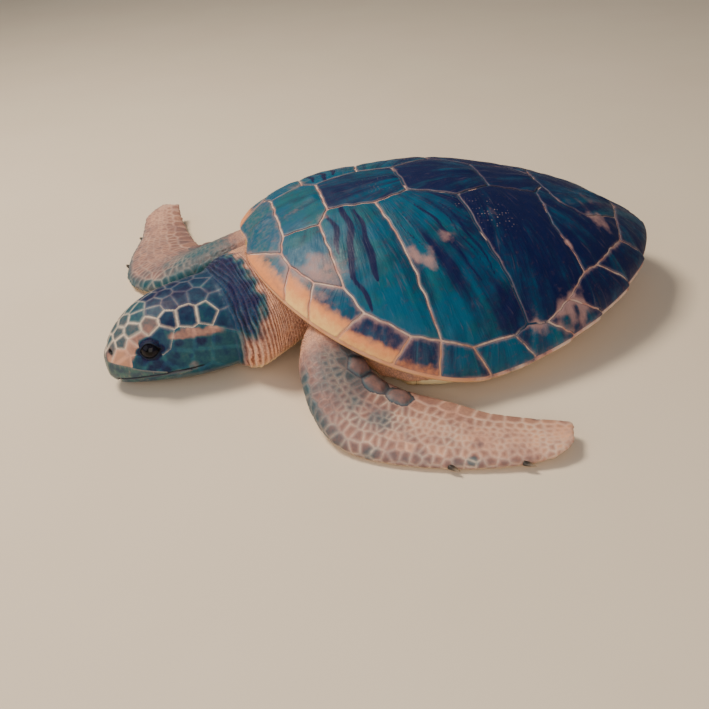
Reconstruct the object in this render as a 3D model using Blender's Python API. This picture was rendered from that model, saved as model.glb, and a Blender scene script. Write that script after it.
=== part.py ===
"""Life-size loggerhead turtle, resting on its plastron and flippers.

The turtle faces -Y with its left side at +X. It is laid out about the middle of its shell, with the
floor at z = 0, and then moved so that the middle of its bounding box stands over the origin.
Metres, +Z up.
"""

import math

import bmesh
import bpy
import numpy as np
from mathutils import Vector

# ---- Driving dimensions of the shell ----
SHELL_LENGTH = 0.61            # straight carapace length, nuchal edge to the last marginals
SHELL_FRONT = -0.30            # where the nuchal edge stands along Y
HALF_WIDTH = 0.267             # widest half of the carapace
WIDEST = 0.43                  # where it is widest, as a part of the length from the front
FRONT_FLARE = 0.20             # how much wider the front is than the back
FRONT_FULLNESS = 0.5           # power of the outline's front half: 0.5 is a true ellipse
REAR_FULLNESS = 0.55           # power of its rear half, a little more pointed
KEEL_TOP = 0.209               # height of the keel at its highest
RIM_FRONT = 0.146              # rim height at the nuchal
RIM_SIDE = 0.034               # rim height at the lowest point of the side
RIM_REAR = 0.090               # rim height over the tail
RIM_LOWEST = 0.45              # where the rim is lowest, as a part of the length
RIM_DROP = 1.45                # how the rim drops from the front: over 1 is hollow
RIM_CLIMB = 1.5                # how it climbs again to the tail
DOME_FLATNESS = 2.18           # how flat the top of a cross-section is: 2 is round
DOME_SHOULDER = 0.71           # how steeply a cross-section drops to the rim
NUCHAL_NOTCH = 0.010           # depth of the hollow in the front edge
NOTCH_WIDTH = 0.035
REAR_TEETH = 0.0045            # how far each rear marginal stands out at its hind corner
TEETH_START = 85               # turn about the rim where the teeth begin, in degrees
TEETH_RISE = 40                # turn over which they reach full size
TOOTH_BACK = 0.9               # part of a marginal's edge where its tooth turns back in
SHELL_THICKNESS = 0.011
RIM_THICKNESS = 0.008
BODY_INSET = 0.90              # the flesh wall stands at this part of the way to the rim
PLASTRON_THICKNESS = 0.010
BRIDGE_START = 0.55            # the plastron is flat out to this part of the way to the rim
BRIDGE_TOP = 0.024             # height of the bridge where it meets the marginals

# Part of the length, then part of the rise from the front or rear rim to the keel's top.
KEEL_FRONT = ((0.0, 0.0), (0.10, 0.51), (0.25, 0.89), (0.45, 1.0))
KEEL_REAR = ((0.65, 0.81), (0.83, 0.50), (0.94, 0.19), (1.0, 0.0))
# Hind edge of each marginal plate as a turn about the rim, from the nuchal at 0 to the tail at 180.
MARGINAL_EDGES = (9, 32, 41, 50, 66, 79, 93, 104, 115, 125, 138, 151, 176)
# Turn in degrees from the nuchal, then part of the way to the rim.
PLASTRON_LINE = ((0, 0.77), (25, 0.74), (50, 0.62), (68, 0.88), (90, 0.90), (112, 0.88),
                 (132, 0.60), (160, 0.68), (180, 0.72))
FLANK_LINE = ((0, 0.82), (22, 0.80), (45, 0.70), (68, 0.90), (90, 0.90), (112, 0.90),
              (132, 0.62), (158, 0.66), (180, 0.76))

# ---- Clearances and fineness ----
GAP = 0.0003                   # clearance between neighbouring solids
SHORTEST_EDGE = 0.00001        # shorter edges left by a cut are closed up
TRUNK_CLEARANCE = 0.0015       # allowance for the flats between the corners of the dome
BELLY_LAP = 0.002              # how far the belly runs into the plastron before that is cut out
SHARP_EDGE = math.radians(40)  # edges sharper than this are not smoothed
RIM_SIDES = 72
BODY_SIDES = RIM_SIDES // 2
HEAD_SIDES = 24
LIMB_SIDES = 16
TUBE_SIDES = 24
TAIL_SIDES = 14

# ---- Head ----
HEAD_LENGTH = 0.162
HEAD_BACK = Vector((0.052, -0.347, 0.0))   # where the head's axis leaves the neck
HEAD_YAW = math.radians(15.0)              # turned to the turtle's left
HEAD_SQUARENESS = 0.87         # under 1 fills out the sides of a cross-section
JOWL_SQUARENESS = 0.60         # the same for the lower half of the cheeks and neck
JOWL_START = 0.10              # share of the head where the jowls begin to fill out
JOWL_FULL = 0.60               # and where they are full
CHEEK_FULLNESS = 0.10          # how much wider the head is below its middle
SLAB_REACH = 0.12              # half depth of the cutters that part the jaws
EYE_RADIUS = 0.0155
EYE_SHARE = 0.34               # the eye's place from the snout, as a share of the head
EYE_HEIGHT = 0.066
EYE_SINK = 0.0115              # depth of the eyeball's middle below the cheek
ORBIT_RISE = 0.0035            # how far the lids stand out about the eye
ORBIT_WIDTH = 0.019            # reach of that swelling
MOUTH_FRONT = 0.055
MOUTH_BACK = 0.74
JAW_LOW = -0.05                # the cutters reach below the floor
JAW_INSET = 0.002              # the jaw and beak are this share shorter than their places
# Share from the snout, then half width, top and bottom heights.
HEAD_FORM = ((0.0, (0.012, 0.054, 0.022)), (0.05, (0.024, 0.068, 0.012)),
             (0.12, (0.035, 0.083, 0.008)), (0.25, (0.047, 0.100, 0.006)),
             (0.45, (0.061, 0.114, 0.004)), (0.70, (0.071, 0.120, 0.004)),
             (0.88, (0.075, 0.121, 0.005)), (1.0, (0.076, 0.122, 0.006)))
HEAD_SHARES = (1.0, 0.9, 0.75, 0.6, 0.48, 0.40, 0.33, 0.26, 0.17, 0.10, 0.05, 0.015, 0.0)
# Share from the snout, then height of the line where the jaws meet.
MOUTH_LINE = ((0.0, 0.022), (0.2, 0.026), (0.45, 0.031), (0.8, 0.036))
# The upper beak's outline on the head's side view: share from the snout, height.
BEAK_OUTLINE = ((-0.1, 0.0475), (0.09, 0.0468), (0.22, 0.0405), (0.41, 0.034), (0.41, JAW_LOW),
                (-0.1, JAW_LOW))

# ---- Neck, limbs and tail: the places are about the middle of the shell ----
CLAW_LENGTH = 0.013
CLAW_RADIUS = 0.0038
CLAW_SIDES = 10
CLAW_TIP = 0.2                 # tip radius as a part of the base
CLAW_SWEEP = 1.6               # how far a claw leans along the flipper's edge
LEAD_FULLNESS = 0.25           # how much thicker a flipper is near its leading edge
FORE_JOINT = 3                 # place along the limb where the arm meets the flipper
HIND_JOINT = 2
FORE_CLAWS = (5.6, 7.0)        # places of the claws along the leading edge
HIND_CLAWS = (3.4, 4.4)

# Place along the neck, then x, y, z, heading from -Y towards the left, half width, half height.
NECK = ((0.0, 0.010, -0.215, 0.085, 0.0, 0.105, 0.052), (1.0, 0.040, -0.275, 0.080, 0.06, 0.110, 0.060),
        (2.0, 0.058, -0.318, 0.074, 0.16, 0.101, 0.066),
        (3.0, HEAD_BACK.x - GAP * math.sin(HEAD_YAW), HEAD_BACK.y + GAP * math.cos(HEAD_YAW), 0.064,
         HEAD_YAW, 0.076, 0.058))
TAIL = ((0.0, 0.0, 0.215, 0.052, 0.0, 0.026, 0.024), (1.0, 0.0, 0.255, 0.040, 0.0, 0.020, 0.019),
        (2.0, 0.0, 0.285, 0.022, 0.0, 0.012, 0.013), (3.0, 0.0, 0.306, 0.010, 0.0, 0.005, 0.007))

# Place along the limb, leading edge, trailing edge, half thickness.
LEFT_ARM = (
    (0, (0.160, -0.235, 0.075), (0.130, -0.150, 0.075), 0.034),
    (1, (0.212, -0.258, 0.055), (0.190, -0.175, 0.060), 0.034),
    (2, (0.262, -0.256, 0.034), (0.222, -0.168, 0.045), 0.030),
    (3, (0.315, -0.238, 0.016), (0.240, -0.150, 0.030), 0.022),
    (4, (0.352, -0.200, 0.009), (0.262, -0.115, 0.020), 0.017),
    (5, (0.380, -0.147, 0.008), (0.288, -0.075, 0.016), 0.014),
    (6, (0.400, -0.090, 0.008), (0.318, -0.040, 0.014), 0.012),
    (7, (0.412, -0.030, 0.010), (0.344, 0.010, 0.014), 0.010),
    (8, (0.414, 0.006, 0.014), (0.358, 0.033, 0.018), 0.007),
    (9, (0.404, 0.032, 0.020), (0.370, 0.046, 0.022), 0.003),
)
RIGHT_ARM = (
    (0, (-0.110, -0.235, 0.075), (-0.185, -0.190, 0.075), 0.034),
    (1, (-0.118, -0.290, 0.058), (-0.212, -0.240, 0.060), 0.034),
    (2, (-0.116, -0.350, 0.044), (-0.220, -0.285, 0.048), 0.032),
    (3, (-0.124, -0.410, 0.028), (-0.228, -0.325, 0.036), 0.026),
    (4, (-0.155, -0.460, 0.014), (-0.250, -0.350, 0.024), 0.019),
    (5, (-0.215, -0.485, 0.009), (-0.290, -0.362, 0.017), 0.015),
    (6, (-0.285, -0.478, 0.009), (-0.340, -0.373, 0.016), 0.012),
    (7, (-0.355, -0.458, 0.012), (-0.395, -0.382, 0.020), 0.010),
    (8, (-0.420, -0.449, 0.022), (-0.428, -0.384, 0.029), 0.007),
    (9, (-0.446, -0.418, 0.034), (-0.442, -0.384, 0.033), 0.003),
)
HIND_LEG = (
    (0, (0.150, 0.055, 0.050), (0.078, 0.074, 0.050), 0.028),
    (1, (0.156, 0.105, 0.042), (0.078, 0.118, 0.042), 0.026),
    (2, (0.147, 0.152, 0.028), (0.068, 0.157, 0.030), 0.020),
    (3, (0.126, 0.192, 0.015), (0.053, 0.190, 0.017), 0.014),
    (4, (0.099, 0.225, 0.010), (0.040, 0.221, 0.012), 0.011),
    (5, (0.078, 0.248, 0.009), (0.036, 0.246, 0.010), 0.008),
    (6, (0.058, 0.262, 0.008), (0.044, 0.262, 0.008), 0.004),
)

COLOURS = {
    "carapace": ((0.020, 0.075, 0.075), 0.35),
    "plastron": ((0.70, 0.52, 0.25), 0.45),
    "skin": ((0.42, 0.24, 0.17), 0.65),
    "beak": ((0.16, 0.17, 0.11), 0.35),
    "eye": ((0.008, 0.008, 0.012), 0.08),
    "claw": ((0.10, 0.08, 0.06), 0.40),
}


def smooth(keys, t):
    """Read a smooth curve through (position, value) keys at t, with no overshoot between keys."""
    xs = np.array([k[0] for k in keys], float)
    ys = np.array([k[1] for k in keys], float)
    h = np.diff(xs)
    slope = (np.diff(ys, axis=0).T / h).T
    tangent = np.zeros_like(ys)
    tangent[0], tangent[-1] = slope[0], slope[-1]
    same_sign = slope[:-1] * slope[1:] > 0
    mean = 2 * slope[:-1] * slope[1:] / np.where(same_sign, slope[:-1] + slope[1:], 1)
    tangent[1:-1] = np.where(same_sign, mean, 0)
    i = int(np.clip(np.searchsorted(xs, t) - 1, 0, len(h) - 1))
    u = min(max((t - xs[i]) / h[i], 0.0), 1.0)
    return (ys[i] * (1 + 2 * u) * (1 - u) ** 2 + ys[i + 1] * u * u * (3 - 2 * u)
            + h[i] * (tangent[i] * u * (1 - u) ** 2 + tangent[i + 1] * u * u * (u - 1)))


# ---- Scene helpers ----
def clear_scene():
    """Remove every object and mesh of the open file."""
    for thing in list(bpy.data.objects):
        bpy.data.objects.remove(thing, do_unlink=True)
    for mesh in list(bpy.data.meshes):
        bpy.data.meshes.remove(mesh)


def collection(name):
    """Make a collection in the scene."""
    made = bpy.data.collections.new(name)
    bpy.context.scene.collection.children.link(made)
    return made


def material(kind):
    """Make one part's own Principled material."""
    colour, roughness = COLOURS[kind]
    mat = bpy.data.materials.new(kind)
    mat.use_nodes = True
    shader = mat.node_tree.nodes["Principled BSDF"]
    shader.inputs["Base Color"].default_value = (*colour, 1.0)
    shader.inputs["Roughness"].default_value = roughness
    shader.inputs["Metallic"].default_value = 0.0
    return mat


def new_object(name, bm, group, kind=None):
    """Turn a bmesh into an object of triangles, smooth shaded, in one collection."""
    bmesh.ops.triangulate(bm, faces=bm.faces)
    bmesh.ops.recalc_face_normals(bm, faces=bm.faces)
    mesh = bpy.data.meshes.new(name)
    bm.to_mesh(mesh)
    bm.free()
    mesh.shade_smooth()
    mesh.set_sharp_from_angle(angle=SHARP_EDGE)
    thing = bpy.data.objects.new(name, mesh)
    group.objects.link(thing)
    if kind:
        mesh.materials.append(material(kind))
    else:
        thing.hide_render = True
        thing.display_type = "WIRE"
    return thing


def loft(rings):
    """Skin closed rings of equal count into one closed body with a fan at each end."""
    bm = bmesh.new()
    loops = [[bm.verts.new(p) for p in ring] for ring in rings]
    for a, b in zip(loops, loops[1:]):
        for i in range(len(a)):
            j = (i + 1) % len(a)
            bm.faces.new((a[i], a[j], b[j], b[i]))
    for ring, points in ((loops[0], rings[0]), (loops[-1], rings[-1])):
        middle = bm.verts.new(np.mean(np.array(points), axis=0))
        for i in range(len(ring)):
            bm.faces.new((ring[i], ring[(i + 1) % len(ring)], middle))
    return bm


def cut(thing, cutters, keep=None):
    """Keep what of an object lies inside one solid, if it is given, and outside all the cutters."""
    steps = [(keep, "INTERSECT")] if keep else []
    for cutter, operation in steps + [(cutter, "DIFFERENCE") for cutter in cutters]:
        step = thing.modifiers.new("cut", "BOOLEAN")
        step.object = cutter
        step.operation = operation
        step.solver = "EXACT"
    graph = bpy.context.evaluated_depsgraph_get()
    mesh = bpy.data.meshes.new_from_object(thing.evaluated_get(graph))
    thing.modifiers.clear()
    thing.data = mesh
    drop_loose_shards(mesh)


def drop_loose_shards(mesh):
    """Keep only the largest connected body of a mesh, and melt the tiny edges a cut leaves."""
    bm = bmesh.new()
    bm.from_mesh(mesh)
    bmesh.ops.remove_doubles(bm, verts=bm.verts, dist=SHORTEST_EDGE)
    bm.verts.ensure_lookup_table()
    seen, bodies = set(), []
    for start in bm.verts:
        if start in seen:
            continue
        body, todo = {start}, [start]
        while todo:
            here = todo.pop()
            for edge in here.link_edges:
                other = edge.other_vert(here)
                if other not in body:
                    body.add(other)
                    todo.append(other)
        seen |= body
        bodies.append(body)
    keep = max(bodies, key=len)
    bmesh.ops.delete(bm, geom=[v for v in bm.verts if v not in keep], context="VERTS")
    bm.to_mesh(mesh)
    bm.free()


# ---- Shell form: one outline and one dome that every shell and body piece is worked out from ----
def rim_point(turn):
    """Plan position of the bare rim ellipse at a turn of 0 (nuchal) to 2 pi, left side first."""
    reach = WIDEST if math.cos(turn) > 0 else 1 - WIDEST
    along = WIDEST - reach * math.cos(turn)
    fullness = FRONT_FULLNESS if math.cos(turn) > 0 else REAR_FULLNESS
    side = abs(math.sin(turn)) ** (2 * fullness) * math.copysign(1, math.sin(turn))
    x = HALF_WIDTH * side * flare(along)
    return x, SHELL_FRONT + along * SHELL_LENGTH


def flare(along):
    """Width factor at a part of the shell's length: wide shoulders, narrow tail."""
    return 1 + FRONT_FLARE * (RIM_LOWEST - along)


def along_shell(y):
    """Part of the shell's length, 0 at the nuchal edge and 1 at the tail."""
    return min(max((y - SHELL_FRONT) / SHELL_LENGTH, 0.0), 1.0)


def shell_middle():
    """Y of the shell's widest place, which every ring of the dome is drawn about."""
    return SHELL_FRONT + WIDEST * SHELL_LENGTH


def rim_height(y):
    """Height of the rim's outer edge."""
    a = along_shell(y)
    if a < RIM_LOWEST:
        return RIM_SIDE + (RIM_FRONT - RIM_SIDE) * (1 - a / RIM_LOWEST) ** RIM_DROP
    return RIM_SIDE + (RIM_REAR - RIM_SIDE) * ((a - RIM_LOWEST) / (1 - RIM_LOWEST)) ** RIM_CLIMB


def keel_height(y):
    """Height of the midline of the dome."""
    keys = [(a, RIM_FRONT + rise * (KEEL_TOP - RIM_FRONT)) for a, rise in KEEL_FRONT]
    keys += [(a, RIM_REAR + rise * (KEEL_TOP - RIM_REAR)) for a, rise in KEEL_REAR]
    return float(smooth(keys, along_shell(y)))


def half_width(y):
    """Half width of the rim ellipse at a place along the shell."""
    a = along_shell(y)
    reach = WIDEST if a < WIDEST else 1 - WIDEST
    off = min(abs(a - WIDEST) / reach, 1.0)
    fullness = FRONT_FULLNESS if a < WIDEST else REAR_FULLNESS
    return HALF_WIDTH * (1 - off * off) ** fullness * flare(a)


def dome(x, y):
    """Height of the carapace's outer surface."""
    across = min(abs(x) / max(half_width(y), 1e-6), 1.0)
    crown = (1 - across ** DOME_FLATNESS) ** DOME_SHOULDER
    return rim_height(y) + (keel_height(y) - rim_height(y)) * crown


def tooth(turn):
    """How far the rim stands out at a turn: each rear marginal slopes out to its hind corner."""
    degrees = math.degrees(turn)
    degrees = 360 - degrees if degrees > 180 else degrees
    for start, end in zip(MARGINAL_EDGES, MARGINAL_EDGES[1:]):
        if start <= degrees < end:
            share = (degrees - start) / (end - start)
            size = min(max((degrees - TEETH_START) / TEETH_RISE, 0.0), 1.0)
            slope = TOOTH_BACK / (1 - TOOTH_BACK)
            out = share if share < TOOTH_BACK else (1 - share) * slope
            return REAR_TEETH * size * (out - 0.5)
    return 0.0


def edge_point(turn):
    """Plan position of the finished rim, with its rear teeth and the nuchal hollow."""
    x, y = rim_point(turn)
    out = Vector((x, y - shell_middle())).normalized()
    x += out.x * tooth(turn)
    y += out.y * tooth(turn)
    if math.cos(turn) > 0.8:
        y += NUCHAL_NOTCH * math.exp(-(x / NOTCH_WIDTH) ** 2)
    return x, y


def rim_turns(count):
    """Turns about the rim, evenly spread."""
    return [2 * math.pi * i / count for i in range(count)]


def plan(turn, part):
    """Plan position a part of the way from the dome's middle to the bare rim."""
    x, y = rim_point(turn)
    return x * part, shell_middle() + (y - shell_middle()) * part


def belly(part):
    """Height where flesh meets plastron: flat in the middle, rising to the bridge."""
    rise = max(0.0, part - BRIDGE_START) / (BODY_INSET - BRIDGE_START)
    return PLASTRON_THICKNESS + (BRIDGE_TOP - PLASTRON_THICKNESS) * rise ** 2


def make_carapace(group):
    """The dome with its wedge-shaped rim and hollow underside, all one plate."""
    turns = rim_turns(RIM_SIDES)
    edge = [edge_point(t) for t in turns]
    wall = [plan(t, BODY_INSET + 2 * GAP) for t in turns]
    rings = []
    for part in (0.15, 0.35, 0.55, 0.72, 0.86, 0.95):
        rings.append([(x, y, dome(x, y)) for x, y in (plan(t, part) for t in turns)])
    rings.append([(x, y, rim_height(y)) for x, y in edge])
    rings.append([(x, y, rim_height(y) - RIM_THICKNESS) for x, y in edge])
    rings.append([(x, y, rim_height(y) - RIM_THICKNESS) for x, y in wall])
    rings.append([(x, y, dome(x, y) - SHELL_THICKNESS) for x, y in wall])
    for part in (0.72, 0.50, 0.25):
        inner = [plan(t, part) for t in turns]
        rings.append([(x, y, dome(x, y) - SHELL_THICKNESS) for x, y in inner])
    return new_object("carapace", loft(rings), group, "carapace")


def make_trunk(group):
    """The body between the shells, drawn in at the pockets that the limbs come out of."""
    turns = rim_turns(BODY_SIDES)
    lid = SHELL_THICKNESS + GAP + TRUNK_CLEARANCE
    rings = []
    for part in (0.25, 0.50, 0.72, BODY_INSET):
        top = [plan(t, part) for t in turns]
        rings.append([(x, y, dome(x, y) - lid) for x, y in top])
    wall = [plan(t, BODY_INSET) for t in turns]
    rings.append([(x, y, rim_height(y) - RIM_THICKNESS) for x, y in wall])
    for share in (1.0, 0.80, 0.55, 0.25):
        ring = [(t, share * reach(FLANK_LINE, t)) for t in turns]
        rings.append([(*plan(t, part), belly(part) - BELLY_LAP) for t, part in ring])
    return new_object("trunk", loft(rings), group, "skin")


def reach(line, turn):
    """Part of the way to the rim that an outline of the underside spans at a turn."""
    degrees = math.degrees(turn)
    degrees = 360 - degrees if degrees > 180 else degrees
    return float(smooth(line, degrees))


def make_plastron(group):
    """The flat underside plate, with a lobe front and back and a bridge each side."""
    turns = rim_turns(BODY_SIDES)
    rings = []
    for share in (0.25, 0.55, 0.80, 1.0):
        ring = [(t, share * reach(PLASTRON_LINE, t)) for t in turns]
        rings.append([(*plan(t, part), belly(part) - GAP) for t, part in ring])
    for share in (1.0, 0.80, 0.55, 0.25):
        ring = [(t, share * reach(PLASTRON_LINE, t)) for t in turns]
        rings.append([(*plan(t, part), belly(part) - PLASTRON_THICKNESS) for t, part in ring])
    return new_object("plastron", loft(rings), group, "plastron")


# ---- Flesh: tubes and blades ----
def squared(angle, upper, lower):
    """Cosine and sine of a turn about a section, drawn out towards its corners by two powers.

    The first power fills out the sides of the upper half, the second both ways of the lower one.
    """
    c, s = math.cos(angle), math.sin(angle)
    if s < 0:
        return math.copysign(abs(c) ** lower, c), -abs(s) ** (lower / upper)
    return math.copysign(abs(c) ** upper, c), s


def tube_rings(stations, steps, sides, lower=1.0):
    """Rings along a path: stations are (place, x, y, z, heading, half width, half height)."""
    keys = [(s[0], s[1:]) for s in stations]
    first, last = stations[0][0], stations[-1][0]
    rings = []
    for i in range(steps + 1):
        t = first + (last - first) * i / steps
        x, y, z, heading, wide, high = smooth(keys, t)
        across = Vector((math.cos(heading), math.sin(heading)))
        ring = []
        for k in range(sides):
            c, s = squared(2 * math.pi * k / sides, 1.0, lower)
            off = across * wide * c
            ring.append((x + off.x, y + off.y, max(z + high * s, 0.0)))
        rings.append(ring)
    return rings


def blade_rings(stations, first, last, steps, sides):
    """Rings fanned between a leading and a trailing edge: (place, lead, trail, half thickness)."""
    keys = [(s[0], (*s[1], *s[2], s[3])) for s in stations]
    rings = []
    for i in range(steps + 1):
        row = smooth(keys, first + (last - first) * i / steps)
        lead, trail, thick = Vector(row[:3]), Vector(row[3:6]), row[6]
        middle, half = (lead + trail) / 2, (lead - trail) / 2
        ring = []
        for k in range(sides):
            angle = 2 * math.pi * k / sides
            c, s = math.cos(angle), math.sin(angle)
            p = middle + half * c
            ring.append((p.x, p.y, max(p.z + thick * s * (1 + LEAD_FULLNESS * c), 0.0)))
        rings.append(ring)
    return rings


def parted(rings, gap):
    """Move a ring stack's first ring along its own length, to leave a gap to the ring it met."""
    normal = ring_normal(rings[0], rings[1])
    rings[0] = [tuple(Vector(p) + normal * gap) for p in rings[0]]
    return rings


def ring_normal(ring, after):
    """Unit direction square to a flat upright ring, pointing to the next ring."""
    a, b = Vector(ring[0]), Vector(ring[len(ring) // 2])
    along = b - a
    normal = Vector((-along.y, along.x, 0.0)).normalized()
    ahead = Vector(np.mean(np.array(after), axis=0)) - (a + b) / 2
    return normal if normal.dot(ahead) > 0 else -normal


def head_section(share):
    """Half width, top and bottom of the head at a share of its length from the snout."""
    return smooth(HEAD_FORM, share)


def head_place(share):
    """Plan position of the head's axis at a share of its length from the snout."""
    aim = Vector((math.sin(HEAD_YAW), -math.cos(HEAD_YAW), 0.0))
    return HEAD_BACK + aim * HEAD_LENGTH * (1 - share)


def head_side():
    """Unit vector to the head's own left."""
    return Vector((math.cos(HEAD_YAW), math.sin(HEAD_YAW), 0.0))


def orbit_swell(share, height):
    """How far the lids about an eye stand out of the side of the head."""
    along = (share - EYE_SHARE) * HEAD_LENGTH / ORBIT_WIDTH
    up = (height - EYE_HEIGHT) / ORBIT_WIDTH
    return ORBIT_RISE * math.exp(-along * along - up * up)


def head_rings(shares, sides):
    """Rings of the head from the neck to the snout, fullest at the cheeks."""
    rings = []
    for share in shares:
        wide, top, bottom = head_section(share)
        place = head_place(share)
        middle, high = (top + bottom) / 2, (top - bottom) / 2
        full = min(max((share - JOWL_START) / (JOWL_FULL - JOWL_START), 0.0), 1.0)
        lower = HEAD_SQUARENESS + (JOWL_SQUARENESS - HEAD_SQUARENESS) * full
        ring = []
        for k in range(sides):
            c, s = squared(2 * math.pi * k / sides, HEAD_SQUARENESS, lower)
            z = middle + high * s
            swell = orbit_swell(share, z) * c
            off = head_side() * (wide * c * (1 - CHEEK_FULLNESS * s) + swell)
            ring.append((place.x + off.x, place.y + off.y, max(z, 0.0)))
        rings.append(ring)
    return rings


def swollen(thing, group, by=1.5 * GAP):
    """A cutter: a copy of an object with its surface moved out a little."""
    bm = bmesh.new()
    bm.from_mesh(thing.data)
    bm.normal_update()
    moves = [(v, v.co + v.normal * by) for v in bm.verts]
    for vert, place in moves:
        vert.co = place
    return new_object(thing.name + "_cutter", bm, group)


def head_slab(name, group, outline):
    """A cutter: an outline drawn on the head's side view, (share, height), pushed through it."""
    bm = bmesh.new()
    side = head_side() * SLAB_REACH
    faces = []
    for sign in (-1, 1):
        ring = []
        for share, height in outline:
            p = head_place(share) + side * sign
            ring.append(bm.verts.new((p.x, p.y, height)))
        faces.append(ring)
        bm.faces.new(ring)
    for i in range(len(outline)):
        j = (i + 1) % len(outline)
        bm.faces.new((faces[0][i], faces[0][j], faces[1][j], faces[1][i]))
    return new_object(name, bm, group)


def eye_place(sign):
    """Middle of an eyeball, on the left (+1) or right (-1) of the head."""
    wide, top, bottom = head_section(EYE_SHARE)
    place = head_place(EYE_SHARE) + head_side() * sign * (wide - EYE_SINK)
    return Vector((place.x, place.y, EYE_HEIGHT))


def ball(name, group, centre, radius, kind=None):
    """A sphere of fair roundness."""
    bm = bmesh.new()
    bmesh.ops.create_uvsphere(bm, u_segments=16, v_segments=10, radius=radius)
    for vert in bm.verts:
        vert.co += centre
    return new_object(name, bm, group, kind)


def clear_of_ends(share):
    """Draw a place on the jaw's outline in from the ends of the mouth."""
    if share >= MOUTH_BACK:
        return MOUTH_BACK - JAW_INSET
    return share + JAW_INSET if share <= MOUTH_FRONT else share


def make_head(group, cutters):
    """Cranium, upper beak, lower jaw and eyes, parted from one head form."""
    rings = head_rings(HEAD_SHARES, HEAD_SIDES)
    line = [(s, float(smooth(MOUTH_LINE, s))) for s in (MOUTH_BACK, 0.55, 0.35, 0.15, MOUTH_FRONT)]
    place = line + [(MOUTH_FRONT, JAW_LOW), (MOUTH_BACK, JAW_LOW)]
    jaw_cut = head_slab("jaw_slab", cutters, place)
    inner = [(clear_of_ends(s), h - GAP if h > JAW_LOW else h) for s, h in place]
    jaw_keep = head_slab("jaw_core", cutters, inner)
    beak_cut = head_slab("beak_slab", cutters, BEAK_OUTLINE)
    inner = [(s - JAW_INSET if s > 0 else s, h - GAP if h > JAW_LOW else h) for s, h in BEAK_OUTLINE]
    beak_keep = head_slab("beak_core", cutters, inner)

    jaw = new_object("lower_jaw", loft(rings), group, "beak")
    cut(jaw, [], keep=jaw_keep)
    beak = new_object("upper_beak", loft(rings), group, "beak")
    cut(beak, [jaw_cut], keep=beak_keep)
    head = new_object("head", loft(rings), group, "skin")
    sockets = []
    for name, sign in (("left", 1), ("right", -1)):
        ball(f"eye_{name}", group, eye_place(sign), EYE_RADIUS, "eye")
        sockets.append(ball(f"socket_{name}", cutters, eye_place(sign), EYE_RADIUS + 2 * GAP))
    cut(head, [jaw_cut, beak_cut] + sockets)


def make_claw(name, group, base, direction):
    """A short curved-looking claw: a cone with a blunt tip, its base against the flipper."""
    bm = bmesh.new()
    bmesh.ops.create_cone(bm, cap_ends=True, segments=CLAW_SIDES, radius1=CLAW_RADIUS,
                          radius2=CLAW_RADIUS * CLAW_TIP, depth=CLAW_LENGTH)
    turn = Vector((0, 0, 1)).rotation_difference(direction).to_matrix()
    for vert in bm.verts:
        vert.co = turn @ vert.co + base + direction * CLAW_LENGTH * 0.35
        vert.co.z = max(vert.co.z, 0.0)
    return new_object(name, bm, group, "claw")


def make_limb(group, cutters, names, stations, joint, solid_cutters, claws):
    """An arm or thigh, its flipper blade and its claws, each cut clear of what it meets."""
    last = stations[-1][0]
    rings = blade_rings(stations, stations[0][0], joint, 2 * joint, LIMB_SIDES)
    upper = new_object(names[0], loft(rings), group, "skin")
    rings = blade_rings(stations, joint, last, 2 * (last - joint), LIMB_SIDES)
    blade = new_object(names[1], loft(parted(rings, GAP)), group, "skin")
    cut(upper, solid_cutters)
    cut(blade, solid_cutters)
    keys = [(s[0], (*s[1], *s[2], s[3])) for s in stations]
    edge_cutter = swollen(blade, cutters)
    for number, place in enumerate(claws, start=1):
        row = smooth(keys, place)
        lead, trail = Vector(row[:3]), Vector(row[3:6])
        ahead = Vector(smooth(keys, place + 0.3)[:3]) - lead
        direction = (lead - trail).normalized() + ahead.normalized() * CLAW_SWEEP
        direction.z = 0.0
        claw = make_claw(f"{names[2]}_{number}", group, lead, direction.normalized())
        cut(claw, [edge_cutter])


def mirrored(stations):
    """The same limb on the other side."""
    return tuple((n, (-a[0], a[1], a[2]), (-b[0], b[1], b[2]), h) for n, a, b, h in stations)


def stand_over_origin(group):
    """Move everything so that the bounding box's bottom middle is the origin."""
    corners = [thing.matrix_world @ vert.co for thing in group.objects for vert in thing.data.vertices]
    low = Vector([min(c[i] for c in corners) for i in range(3)])
    high = Vector([max(c[i] for c in corners) for i in range(3)])
    shift = Vector(((low.x + high.x) / 2, (low.y + high.y) / 2, low.z))
    for thing in group.objects:
        for vert in thing.data.vertices:
            vert.co -= shift


def main():
    """Build every part of the turtle."""
    clear_scene()
    group = collection("loggerhead_turtle")
    cutters = collection("cutters")

    carapace = make_carapace(group)
    plastron = make_plastron(group)
    trunk = make_trunk(group)
    cut(trunk, [swollen(plastron, cutters)])
    hull = [swollen(thing, cutters) for thing in (trunk, carapace, plastron)]

    neck = new_object("neck", loft(tube_rings(NECK, 9, TUBE_SIDES, JOWL_SQUARENESS)), group, "skin")
    cut(neck, hull)
    make_head(group, cutters)
    tail = new_object("tail", loft(tube_rings(TAIL, 6, TAIL_SIDES)), group, "skin")
    cut(tail, hull)

    front_cutters = hull + [swollen(neck, cutters)]
    hind_cutters = hull + [swollen(tail, cutters)]
    for side, stations in (("left", LEFT_ARM), ("right", RIGHT_ARM)):
        names = (f"upper_arm_{side}", f"fore_flipper_{side}", f"fore_claw_{side}")
        make_limb(group, cutters, names, stations, FORE_JOINT, front_cutters, FORE_CLAWS)
    for side, stations in (("left", HIND_LEG), ("right", mirrored(HIND_LEG))):
        names = (f"thigh_{side}", f"hind_flipper_{side}", f"hind_claw_{side}")
        make_limb(group, cutters, names, stations, HIND_JOINT, hind_cutters, HIND_CLAWS)
    stand_over_origin(group)


main()
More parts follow.
